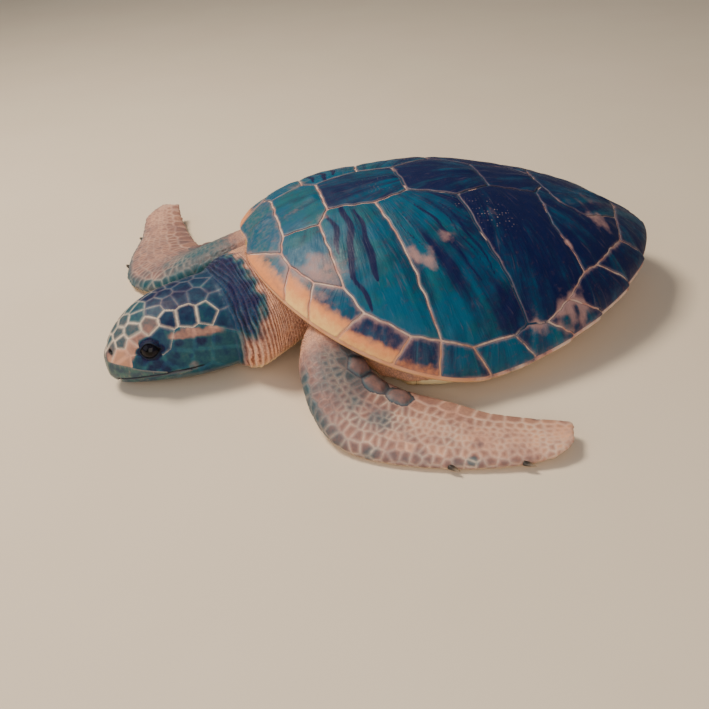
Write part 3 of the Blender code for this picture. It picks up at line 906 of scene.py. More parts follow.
@dataclass
class Carapace:
    """The dome: a pale bony shell with separate horny plates laid on it."""

    form: ShellForm
    chart: ShellMap
    home: Home
    half_seam: float = 1.25 * MM
    bed: float = -1.1 * MM           # the bony shell's surface, under the plates
    bury: float = -2.4 * MM          # how deep a plate's underside lies
    step: float = 3.0 * MM           # spacing of a plate's points
    bevel: float = 2.2 * MM
    bevel_rings: Sequence[float] = (0.45, 1.0, 1.7, 2.7, 4.2)     # in mm from a plate's edge
    crown: float = 1.3 * MM          # how far a plate's field stands over the dome
    wobble: float = 1.1 * MM
    # Where three plates meet on the left: how far out from the midline and how far along it, in
    # thousandths of the shell's length.
    junctions: dict[str, tuple[float, float]] = field(default_factory=lambda: {
        "n_m1": (151, 78), "m1_m2": (198, 90), "m2_m3": (259, 129), "c1_c2_rim": (296, 186),
        "m3_m4": (348, 215), "m4_m5": (397, 299), "m5_m6": (408, 360), "m6_m7": (416, 427),
        "m7_m8": (401, 522), "c3_c4_rim": (386, 556), "m8_m9": (378, 605), "m9_m10": (340, 667),
        "c4_c5_rim": (288, 724), "m10_m11": (265, 764), "m11_m12": (182, 860), "v5_m12": (101, 885),
        "tail": (0, 930), "v1_front": (101, 91), "c1_c2": (119, 171), "v1_v2": (75, 198),
        "v2_side": (96, 303), "c2_c3": (226, 325), "v2_v3": (72, 383), "v3_side": (117, 486),
        "c3_c4": (232, 503), "v3_v4": (73, 574), "v4_side": (81, 686), "c4_c5": (192, 684),
        "v4_v5": (36, 720), "v5_shoulder": (105, 735), "v5_side": (140, 790)})
    vertebrals: Sequence[str] = (
        "v1_front c1_c2 v1_v2", "v1_v2 v2_side v2_v3", "v2_v3 v3_side v3_v4",
        "v3_v4 v4_side v4_v5", "v4_v5 v5_shoulder v5_side v5_m12 tail")
    costals: Sequence[str] = (
        "v1_front n_m1 m1_m2 m2_m3 c1_c2_rim c1_c2",
        "c1_c2 c1_c2_rim m3_m4 m4_m5 m5_m6 c2_c3 v2_side v1_v2",
        "v2_side c2_c3 m5_m6 m6_m7 m7_m8 c3_c4_rim c3_c4 v3_side v2_v3",
        "v3_side c3_c4 c3_c4_rim m8_m9 m9_m10 c4_c5_rim c4_c5 v4_side v3_v4",
        "v4_side c4_c5 c4_c5_rim m10_m11 m11_m12 v5_m12 v5_side v5_shoulder v4_v5")
    marginals: Sequence[str] = (
        "n_m1 m1_m2", "m1_m2 m2_m3", "m2_m3 c1_c2_rim m3_m4", "m3_m4 m4_m5", "m4_m5 m5_m6",
        "m5_m6 m6_m7", "m6_m7 m7_m8", "m7_m8 c3_c4_rim m8_m9", "m8_m9 m9_m10",
        "m9_m10 c4_c5_rim m10_m11", "m10_m11 m11_m12", "m11_m12 v5_m12 tail")
    # Lean of each costal's rays towards the tail, in degrees from straight outward.
    ray_lean: Sequence[float] = (-15, 2, 24, 14, 48)
    # Blotches: x, place along the shell and reach, all in thousandths of its length, and strength.
    blotches: Keys = (
        (232, 132, 42, 1), (262, 160, 30, 0.6), (258, 343, 15, 1), (284, 371, 17, 1.2),
        (232, 426, 15, 0.9), (143, 817, 28, 1), (235, 700, 8, 1.6), (243, 160, 6, 1.8),
        (176, 541, 14, 0.4), (354, 652, 18, 1.3), (344, 690, 17, 1.4), (382, 578, 16, 0.9),
        (60, 830, 26, 0.5), (100, 760, 20, 0.4), (-200, 300, 30, 0.7), (-260, 500, 28, 0.8),
        (-120, 160, 30, 0.6), (-170, 660, 30, 0.7), (30, 130, 22, 0.5), (100, 180, 20, 0.5))
    # Patches of small pale specks, given like the blotches.
    specks: Keys = (
        (181, 547, 30, 1.4), (245, 150, 30, 0.9), (150, 475, 20, 0.5), (-110, 420, 35, 0.9),
        (20, 330, 30, 0.5), (-200, 600, 30, 0.8))
    # Long dark streaks on the costals: x and place along the shell at both ends, in thousandths of
    # its length, half width in mm, and strength.
    streaks: Keys = (
        (95, 197, 225, 194, 3.4, 1), (68, 230, 300, 212, 5, 1.3), (280, 209, 350, 233, 4, 1.1),
        (105, 252, 305, 258, 4.6, 1.2), (150, 322, 300, 392, 1.8, 0.7), (130, 384, 330, 472, 2.8, 0.9),
        (120, 411, 300, 486, 2, 0.8), (140, 437, 320, 508, 2.6, 0.9), (150, 350, 240, 385, 1.4, 0.6),
        (120, 455, 220, 490, 2, 0.7), (140, 552, 340, 602, 2.2, 0.7), (150, 600, 280, 640, 2, 0.6),
        (170, 530, 330, 566, 1.6, 0.6))
    # Where seams are dark and thin instead of pale, given like the blotches.
    deep_seams: Keys = (
        (180, 500, 75, 1.6), (300, 520, 60, 1.3), (360, 550, 40, 0.8), (100, 690, 50, 1.2),
        (200, 685, 45, 1.1), (0, 385, 60, 1.2), (0, 575, 80, 1.4), (20, 710, 50, 1), (80, 420, 50, 0.7),
        (80, 600, 70, 1.5), (200, 600, 40, 0.6), (410, 420, 70, 0.5), (380, 550, 60, 0.6),
        (-200, 500, 80, 0.9), (-100, 600, 60, 0.8))
    # How navy each kind of plate is, by number: 0 teal, 1 navy.
    depths: dict[str, Sequence[float]] = field(default_factory=lambda: {
        "nuchal": (0.15,), "vertebral": (0.20, 0.62, 0.80, 0.85, 0.70),
        "costal": (0.15, 0.34, 0.62, 0.92, 0.85),
        "marginal": (0.2, 0.25, 0.5, 0.8, 0.7, 0.42, 0.42, 0.45, 0.6, 0.85, 0.75, 0.65)})
    # Strength of the amber outer half of marginals 1 to 12, then how pink they are.
    amber: Sequence[float] = (0.62, 0.95, 0.95, 0.80, 0.40, 0.10, 0.0, 0.0, 0.0, 0.0, 0.0, 0.0)
    pink: Sequence[float] = (0.55, 0.35, 0.30, 0.45, 0.35, 0.22, 0.15, 0.25, 0.30, 0.15, 0.15, 0.2)

    def spot(self, name: str) -> Array:
        """Find a junction.

        Args:
            name: its name; a leading minus sign means its mirror image.

        Returns:
            Its flat place.
        """
        mirror = (-1 if name.startswith("-") else 1, 1)
        if name.lstrip("-").startswith("rim"):
            return self.chart.rim_flat(np.array([abs(self.rim_turn(name))]))[0] * mirror
        x, a = np.array(self.junctions[name.lstrip("-")]) / 1000 * self.form.length
        return self.chart.flat(x, self.form.front + a)[0] * mirror

    def seam(self, start: str, end: str) -> Array:
        """Points of the line between two junctions.

        Args:
            start: the first junction.
            end: the second junction.

        Returns:
            Points from the first up to, but not with, the second.
        """
        if "rim" in start and "rim" in end and start.lstrip("-") + end.lstrip("-") != "rim12rim12":
            turns = [self.rim_turn(name) for name in (start, end)]
            if abs(turns[1] - turns[0]) > math.pi:
                turns[1] += math.copysign(2 * math.pi, turns[0] - turns[1])
            count = max(4, round(abs(turns[1] - turns[0]) * 0.30 / MM))
            return self.chart.rim_flat(np.linspace(*turns, count, endpoint=False))
        first, last = sorted((start, end))
        a, b = self.spot(first), self.spot(last)
        count = max(3, round(float(np.linalg.norm(b - a)) / (2.2 * MM)))
        share = np.linspace(0, 1, count + 1)[:, None]
        line = a + (b - a) * share
        out = unit(np.array([[a[1] - b[1], b[0] - a[0]]]))
        line = line + out * (waves(line, 26 * MM, 5) * self.wobble * np.sin(math.pi * share[:, 0]))[:, None]
        return line[:-1] if (first, last) == (start, end) else line[:0:-1]

    def rim_turn(self, name: str) -> float:
        """Find a rim junction's turn about the rim.

        Args:
            name: the junction.

        Returns:
            Its turn in radians.
        """
        number = int(name.lstrip("-")[3:])
        turn = math.pi if number == 12 else math.radians(self.form.marginals[number])
        return -turn if name.startswith("-") else turn

    def outlines(self) -> dict[str, list[str]]:
        """List the plates.

        Returns:
            The junctions about each, by the plate's name.
        """
        made = {"nuchal": ["rim0", "n_m1", "v1_front", "-v1_front", "-n_m1", "-rim0"]}
        for number, names in enumerate(self.vertebrals, 1):
            left = names.split()
            right = ["-" + n for n in reversed(left) if n != "tail"]
            made[f"vertebral_{number}"] = left + right
        for sign, side in (("", "left"), ("-", "right")):
            for number, names in enumerate(self.costals, 1):
                made[f"costal_{side}_{number}"] = [self.signed(sign, n) for n in names.split()]
            for number, names in enumerate(self.marginals, 1):
                ring = names.split() + [f"rim{number}", f"rim{number - 1}"]
                made[f"marginal_{side}_{number}"] = [self.signed(sign, n) for n in ring]
        return made

    @staticmethod
    def signed(sign: str, name: str) -> str:
        """Mirror a junction's name, unless it lies on the midline."""
        return name if name in ("tail", "rim12") else sign + name

    @staticmethod
    def inset_loop(loop: Array, by: float, from_rim: Array) -> Array:
        """Draw a closed line inward.

        Args:
            loop: points of the line, anticlockwise.
            by: how far.
            from_rim: which points lie on the rim, where the line stays put.

        Returns:
            The inner line, with the points that ran over each other left out.
        """
        ahead, behind = np.roll(loop, -1, axis=0), np.roll(loop, 1, axis=0)
        way = unit(ahead - behind)
        inward = np.stack([-way[:, 1], way[:, 0]], axis=-1)
        moved = loop + inward * (by * ~from_rim)[:, None]
        plain = ~(from_rim & np.roll(from_rim, -1))
        return moved[near_line(moved, loop[plain], ahead[plain]) >= by * 0.97]

    def plate(self, name: str, names: list[str], number: int) -> Object:
        """Build one plate as a closed, bevelled body.

        Args:
            name: the plate's name.
            names: junctions about it.
            number: its place in the order of making, which seeds its own tone.

        Returns:
            The plate.
        """
        pairs = list(zip(names, names[1:] + names[:1]))
        runs = [self.seam(a, b) for a, b in pairs]
        loop = np.concatenate(runs)
        on_rim = np.concatenate([np.full(len(run), "rim" in a and "rim" in b)
                                 for run, (a, b) in zip(runs, pairs)])
        ahead = np.roll(loop, -1, axis=0)
        if (loop[:, 0] * ahead[:, 1] - ahead[:, 0] * loop[:, 1]).sum() < 0:
            loop, on_rim = loop[::-1], np.roll(on_rim[::-1], -1)
        edge = self.inset_loop(loop, self.half_seam, on_rim)
        after = np.roll(edge, -1, axis=0)
        low, high = edge.min(0), edge.max(0)
        across = np.arange(low[0], high[0], self.step)
        grid = np.concatenate([np.stack([across + (i % 2) * self.step / 2, np.full(len(across), q)], axis=-1)
                               for i, q in enumerate(np.arange(low[1], high[1], self.step * 0.87))])
        inner = [self.inset_loop(edge, by * MM, np.zeros(len(edge), bool)) for by in self.bevel_rings]
        flat, faces = self.filled(edge, np.concatenate(
            [p[near_line(p, edge, after) > 0.35 * MM] for p in inner]
            + [grid[near_line(grid, edge, after) > 5.6 * MM]]))
        depth = near_line(flat, edge, after)
        numbers = self.markings(name, flat, depth, number)
        co = self.chart.lifted(flat, self.relief(name, flat, depth, number))
        under, under_faces = self.filled(edge, grid[near_line(grid, edge, after) > 6 * MM][::29])
        base = self.chart.lifted(under, self.bury)
        count, ring = len(co), len(edge)
        faces += [tuple(count + i for i in reversed(f)) for f in under_faces]
        faces += [(j, i, count + i, count + j) for i in range(ring) for j in [(i + 1) % ring]]
        numbers = {key: np.concatenate([v, np.resize(v[:ring], len(base))]) for key, v in numbers.items()}
        thing = make_piece(name, np.concatenate([co, base]), faces, self.home, numbers)
        face_out(thing.data)
        return thing

    @staticmethod
    def filled(edge: Array, inner: Array) -> tuple[Array, list]:
        """Fill a closed line with triangles.

        Args:
            edge: points of the line.
            inner: points inside it.

        Returns:
            The points, those of the line first, and the triangles.
        """
        co, _, faces, source, _, _ = geometry.delaunay_2d_cdt(
            [Vector(p) for p in (*edge, *inner)], [], [list(range(len(edge)))], 1, 1e-7)
        order = {index: new for new, old in enumerate(source) for index in old}
        keep = [order[i] for i in range(len(edge))]
        kept = set(keep)
        rest = [i for i in range(len(co)) if i not in kept]
        place = {old: new for new, old in enumerate(keep + rest)}
        flat = np.array([co[i][:] for i in keep + rest])
        return flat, [tuple(place[i] for i in f) for f in faces]

    def relief(self, name: str, flat: Array, depth: Array, number: int) -> Array:
        """Height of a plate's surface over the dome.

        Args:
            name: the plate's name.
            flat: flat places of its points.
            depth: distance of each from the plate's edge.
            number: the plate's number.

        Returns:
            One height for each point.
        """
        u = np.clip(depth / self.bevel, 0, 1)
        lift = -0.5 * MM + (self.crown - 0.3 * MM) * np.sqrt(1 - (1 - u) ** 2)
        lift += 0.8 * MM * ease(0, 16 * MM, depth)
        lift += 0.35 * MM * waves(flat, 30 * MM, number) * ease(1 * MM, 8 * MM, depth)
        if name.startswith("vertebral") or name == "nuchal":
            back = (flat[:, 1] - flat[:, 1].min()) / np.ptp(flat[:, 1])
            lift += 2.6 * MM * np.exp(-(flat[:, 0] / (9 * MM)) ** 2) * ease(0.25, 0.85, back) \
                * ease(0, 10 * MM, depth)
        if name.startswith("costal"):
            middle = flat.mean(0)
            lift += 1.2 * MM * np.exp(-((flat - middle) ** 2).sum(1) / (40 * MM) ** 2)
        return lift

    def markings(self, name: str, flat: Array, depth: Array, number: int) -> dict:
        """Numbers that a plate's colours are worked out from.

        Args:
            name: the plate's name.
            flat: flat places of its points.
            depth: distance of each from the plate's edge.
            number: the plate's number.

        Returns:
            Name and values of each: place across and along the rays, and how strongly each mark shows.
        """
        side = -1 if "right" in name else 1
        kind, index = name.split("_")[0], int(name.split("_")[-1]) if "_" in name else 0
        middle = flat.mean(0)
        if kind == "costal":
            lean = math.radians(self.ray_lean[index - 1])
            way, back = np.array([side * math.cos(lean), math.sin(lean)]), 0.20
        elif kind == "marginal":
            way, back = unit(middle), 0.07
        else:
            way, back = np.array([0.0, -1.0]), 0.10
        apex = middle - way * back
        off = flat - apex
        cross = off[:, 0] * way[1] - off[:, 1] * way[0]
        angle = np.arctan2(cross, off @ way)
        space, _ = self.chart.surface(flat)
        blush = self.spots(space, self.blotches)
        blush += 0.22 * ease(6 * MM, 0.0, depth) * (1 + waves(flat, 60 * MM, 71))
        warm = np.zeros(len(flat))
        if kind == "marginal":
            out = self.outward(flat)
            turn = np.abs(waves(flat, 34 * MM, 72))
            low = (0.30, 0.00, 0.14, 0.34, 0.50)[min(index, 5) - 1]
            warm = self.amber[index - 1] * (0.35 + 0.75 * out) * ease(low, low + 0.45, out + 0.12 * turn)
            blush += self.pink[index - 1] * (0.6 + 0.7 * ease(9 * MM, 2 * MM, depth))
        if kind == "nuchal":
            blush += 0.35
        a = self.form.along(space[:, 1])
        shade = np.full(len(flat), self.depths[kind][max(index - 1, 0)])
        if kind == "costal":
            way_back = ease(flat[:, 1].min(), flat[:, 1].max(), flat[:, 1])
            shade += (0.45 if index == 3 else 0.25) * (way_back - 0.5)
            low = ease(0.60, 0.98, np.abs(space[:, 0]) / self.form.width(space[:, 1]))
            shade -= (0.22 * low if index in (2, 3, 4) else 0.0)
        rng = np.random.default_rng(number)
        worn = (0.45 if kind == "marginal" else 0.35) * (1 - 0.6 * ease(0.42, 0.62, a))
        return {"across": angle * back, "along": np.linalg.norm(off, axis=1), "inset": depth,
                "tone": np.full(len(flat), rng.uniform()), "blush": blush, "warm": warm,
                "shade": shade, "streak": self.streaked(space) if kind == "costal" else 0 * shade,
                "worn": worn, "specks": self.spots(space, self.specks)}

    def spots(self, space: Array, marks: Keys) -> Array:
        """Add up soft round marks.

        Args:
            space: points in space.
            marks: the marks.

        Returns:
            Their strength at each point.
        """
        total = np.zeros(len(space))
        edge = 1 + 0.45 * waves(space, 26 * MM, 73)
        for *spot, strength in marks:
            x, a, reach = np.array(spot) / 1000 * self.form.length
            off = space[:, :2] - (x, self.form.front + a)
            total += strength * np.exp(-(off ** 2).sum(1) / (reach * edge) ** 2)
        return total

    def streaked(self, space: Array) -> Array:
        """Draw the dark streaks; the right side mirrors the left.

        Args:
            space: points in space.

        Returns:
            How dark each is.
        """
        total = np.zeros(len(space))
        place = np.abs(space[:, :2] - (0, self.form.front)) / self.form.length
        place[:, 1] += 0.006 * waves(space, 60 * MM, 74)
        for *ends, half, strength in self.streaks:
            start, end = np.reshape(ends, (2, 2)) / 1000
            run = end - start
            share = (place - start) @ run / (run @ run)
            gap = np.linalg.norm(place - start - np.clip(share, 0, 1)[:, None] * run, axis=1)
            taper = np.sqrt(np.clip(1 - (2 * np.clip(share, 0, 1) - 1) ** 2, 0, 1)) * 0.8 + 0.2
            core = np.exp(-(gap * self.form.length / (half * MM * taper)) ** 2)
            total = np.maximum(total, strength * core)
        return total

    def outward(self, flat: Array) -> Array:
        """How far places on a marginal lie towards the rim: 0 about 45 mm in, 1 at the rim."""
        whole = self.chart.rim_away(np.arctan2(flat[:, 0], -flat[:, 1]))
        return np.clip(1 - (whole - np.linalg.norm(flat, axis=1)) / (45 * MM), 0, 1)

    def bony_shell(self) -> Object:
        """Build the closed shell under the plates: dome, rounded rim and hollow underside.

        Returns:
            The shell.
        """
        form, turns = self.form, np.linspace(0, 2 * math.pi, 216, endpoint=False)
        rim = self.chart.rim_flat(turns)
        rings = [self.chart.lifted(rim * part, self.bed)
                 for part in (*np.linspace(0.03, 0.92, 34), *np.linspace(0.935, 0.995, 7))]
        below = [0.0] * len(rings)
        edge, _ = self.chart.surface(rim)
        out = unit((edge - np.array([0.0, form.middle, 0.0])) * (1, 1, 0))
        half = form.rim_thickness / 2
        for angle in np.linspace(50, -90, 8):
            c, s = math.cos(math.radians(angle)), math.sin(math.radians(angle))
            rings.append(edge + out * (half * c - half) + np.array([0, 0, half * s - half]))
            below.append(float(ease(20, -50, angle)) * 0.6)
        wall_x, wall_y = form.rim(turns)
        start = form.inset + 0.001
        for hollow, parts in ((False, (0.97, 0.93, start)), (True, (start, 0.80, 0.65, 0.45, 0.22, 0.05))):
            for part in parts:
                x, y = wall_x * part, form.middle + (wall_y - form.middle) * part
                z = form.dome(x, y) - form.thickness if hollow else form.rim_height(y) - form.rim_thickness
                rings.append(np.stack([x, y, z], axis=-1))
                below.append(1.0)
        co = np.concatenate(rings)
        a = form.along(co[:, 1])
        out = np.abs(co[:, 0]) / np.maximum(form.width(co[:, 1]), 0.01)
        numbers = {"below": np.repeat(below, len(turns)), "deep": self.spots(co, self.deep_seams),
                   "warm": ease(0.52, 0.36, a) * ease(0.90, 0.985, np.maximum(out, 1 - 4 * a)) * 0.75}
        thing = make_piece("bony_shell", co, tube(len(rings), len(turns)), self.home, numbers)
        face_out(thing.data)
        return thing

    def build(self) -> None:
        """Build and dress the shell and its plates."""
        settle(self.bony_shell(), SeamHorn().made(), ["carapace"])
        horn = PlateHorn().made()
        for number, (name, names) in enumerate(self.outlines().items()):
            settle(self.plate(name, names, number), horn)


# ---- Plastron ----
@dataclass(frozen=True)
class PlastronHorn:
    """The underside's keratin: smooth yellowish cream, satin from wear, with brown-stained seams."""

    cream: str = "#e3cf9c"
    stain: str = "#c79f66"
    seam: str = "#7d5f45"

    def made(self) -> Material:
        """Make the material.

        Returns:
            The material.
        """
        look = Look("plastron_keratin")
        speck = look.grain(4 * MM, 4.0)
        gap = look.values("gap")[0].wander(speck, 1.6 * MM)
        colour = look.layered(
            self.cream, (look.grain(40 * MM, 4.0).ramp(0.42, 0.68), self.stain),
            (gap.ramp(9 * MM, 1 * MM) * 0.35, self.stain), (gap.ramp(1.5 * MM, 0.5 * MM), self.seam))
        return look.finished({"Base Color": colour, "Roughness": 0.50, "IOR": 1.54,
                              "Specular IOR Level": 0.35}, speck, 0.4, 0.4 * MM)


@dataclass
class Plastron:
    """The flat underside, one smooth body scored with the seams of its plates."""

    form: ShellForm
    home: Home
    voxel: float = 3.0 * MM
    depth: float = 0.7 * MM          # how deep the seams are scored
    half_score: float = 1.0 * MM
    # Seams as lines of places, in thousandths of the half width and of the length; the left ones
    # are mirrored.
    midline: Keys = ((0, 0), (0, 1000))
    left_seams: Sequence[Keys] = (
        ((0, 100), (140, 85), (300, 30)), ((0, 235), (200, 225), (440, 190), (560, 160)),
        ((0, 385), (350, 375), (660, 345)), ((0, 575), (350, 580), (660, 590)),
        ((0, 765), (220, 775), (420, 820), (520, 860)),
        ((600, 150), (660, 300), (700, 470), (660, 620), (560, 760)), ((660, 300), (1000, 285)),
        ((700, 440), (1000, 440)), ((670, 585), (1000, 600)))

    def build(self) -> None:
        """Build and dress the plastron."""
        mesh = fused([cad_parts["plastron"]], 0.0, self.voxel)
        co = relaxed(mesh, read(mesh), 10)
        low, high = co.min(0), co.max(0)
        size = np.array([(high[0] - low[0]) / 2, high[1] - low[1]])
        lines = [self.midline] + [[(s * x, y) for x, y in line] for line in self.left_seams
                                  for s in (1, -1)]
        starts = np.array([p for line in lines for p in line[:-1]]) / 1000 * size
        ends = np.array([p for line in lines for p in line[1:]]) / 1000 * size
        flat = co[:, :2] - (self.home.put(np.zeros(3))[0], low[1])
        flat[:, 1] += 1.5 * MM * waves(flat, 40 * MM, 51)
        gap = near_line(flat, starts, ends)
        score = self.depth * np.exp(-(gap / self.half_score) ** 2)
        co += read(mesh, "normal") * (-score)[:, None]
        mesh.vertices.foreach_set("co", co.ravel())
        mesh.shade_smooth()
        store(mesh, {"gap": gap})
        mesh.name = "scored_plastron"
        settle(placed("scored_plastron", mesh), PlastronHorn().made(), ["plastron"])


# ---- Head form ----
@dataclass(frozen=True)
class HeadForm:
    """Shape of the head about its own axis; its sizes are the CAD model's.

    A share runs from 0 at the snout to 1 at the neck. Degrees run round a section from the crown
    at 0 to the turtle's left at 90 and the throat at 180.
    """

    length: float = 0.162
    back: tuple[float, float] = (0.052, -0.347)
    yaw: float = math.radians(15.0)
    squareness: float = 0.87
    jowl: float = 0.60                # squareness of the lower half, from jowl_full back
    jowl_start: float = 0.10
    jowl_full: float = 0.60
    cheek_fullness: float = 0.10
    eye_radius: float = 0.0155
    eye_share: float = 0.34
    eye_height: float = 0.066
    eye_sink: float = 0.0115
    mouth_front: float = 0.055
    mouth_back: float = 0.74
    sections: Keys = ((0.0, 0.012, 0.054, 0.022), (0.05, 0.024, 0.068, 0.012),
                      (0.12, 0.035, 0.083, 0.008), (0.25, 0.047, 0.100, 0.006),
                      (0.45, 0.061, 0.114, 0.004), (0.70, 0.071, 0.120, 0.004),
                      (0.88, 0.075, 0.121, 0.005), (1.0, 0.076, 0.122, 0.006))
    mouth_line: Keys = ((0.0, 0.022), (0.2, 0.026), (0.45, 0.031), (0.8, 0.036))
    beak_top: Keys = ((-0.1, 0.0475), (0.09, 0.0468), (0.22, 0.0405), (0.41, 0.034))
    beak_back: float = 0.41

    @property
    def aim(self) -> Array:
        """Direction that the head points in."""
        return np.array([math.sin(self.yaw), -math.cos(self.yaw), 0.0])

    @property
    def side(self) -> Array:
        """Direction of the head's own left."""
        return np.array([math.cos(self.yaw), math.sin(self.yaw), 0.0])

    def place(self, co: Array) -> tuple[Array, Array, Array]:
        """Work out where points are on the head.

        Args:
            co: points in the shell's frame.

        Returns:
            Share, distance to the left of the axis, and degrees round the section.
        """
        off = co - (*self.back, 0.0)
        share = 1 - off @ self.aim / self.length
        left = off @ self.side
        wide, top, low = smooth(self.sections, share).T
        degrees = np.degrees(np.arctan2(left / wide, (co[:, 2] - (top + low) / 2) / ((top - low) / 2)))
        return share, left, degrees

    def lower(self, share: float) -> float:
        """Squareness of the lower half of the section at a share."""
        full = np.clip((share - self.jowl_start) / (self.jowl_full - self.jowl_start), 0, 1)
        return float(self.squareness + (self.jowl - self.squareness) * full)

    def point(self, share: float, degrees: float) -> Array:
        """Find a point of the surface.

        Args:
            share: its share.
            degrees: its turn round the section.

        Returns:
            The point.
        """
        wide, top, low = smooth(self.sections, share)
        turn, under = np.radians(np.linspace(0, 180, 181)), self.lower(share)
        up, out = np.cos(turn), np.sin(turn)
        out = out ** np.where(up < 0, under, self.squareness)
        up = np.where(up < 0, -np.abs(up) ** (under / self.squareness), up)
        out = out * (1 - self.cheek_fullness * up)
        measured = np.degrees(np.arctan2(out, up))
        out, up = (float(np.interp(abs(degrees), measured, v)) for v in (out, up))
        flat = (np.array([*self.back, 0.0]) + self.aim * self.length * (1 - share)
                + self.side * math.copysign(wide * out, degrees))
        return flat + (0, 0, (top + low) / 2 + (top - low) / 2 * up)

    def gape(self, share: Array, height: Array) -> Array:
        """Distance above the line of the mouth, which turns down and under behind the beak's hook."""
        return np.maximum(height - smooth(self.mouth_line, share),
                          (self.mouth_front - share) * self.length)

    def half_at(self, share: float, height: float) -> float:
        """Measure the half width of the head.

        Args:
            share: where along the head.
            height: how high.

        Returns:
            The half width there.
        """
        wide, top, low = smooth(self.sections, share)
        s = float(np.clip((height - (top + low) / 2) / ((top - low) / 2), -1, 1))
        under = self.lower(share)
        c = s if s > 0 else abs(s) ** (self.squareness / under)
        power = self.squareness if s > 0 else under
        return float(wide * (1 - c * c) ** (power / 2) * (1 - self.cheek_fullness * s))

    def eye(self, sign: int) -> tuple[Array, Array]:
        """Find an eye.

        Args:
            sign: +1 for the left, -1 for the right.

        Returns:
            The eyeball's middle, and axes to the back, up and outward of the face there, as rows.
        """
        wide = smooth(self.sections, self.eye_share)[0]
        middle = (np.array([*self.back, self.eye_height]) + self.aim * self.length * (1 - self.eye_share)
                  + self.side * sign * (wide - self.eye_sink))
        ds, dz = 0.02, 0.004
        slope = (self.half_at(self.eye_share + ds, self.eye_height)
                 - self.half_at(self.eye_share - ds, self.eye_height)) / (2 * ds * self.length)
        rise = (self.half_at(self.eye_share, self.eye_height + dz)
                - self.half_at(self.eye_share, self.eye_height - dz)) / (2 * dz)
        out = unit(self.side * sign + self.aim * slope - np.array([0, 0, rise]))
        back = unit(-self.aim - out * (-self.aim @ out))
        up = np.cross(out, back)
        return middle, np.stack([back, up if up[2] > 0 else -up, out])


# ---- Limbs ----
@dataclass(frozen=True)
class ScaleRow:
    """One row of scales along a limb, from the leading edge (0) to the trailing one (1); sizes in mm."""

    across: float
    spacing: float
    puff: float
    hue: float


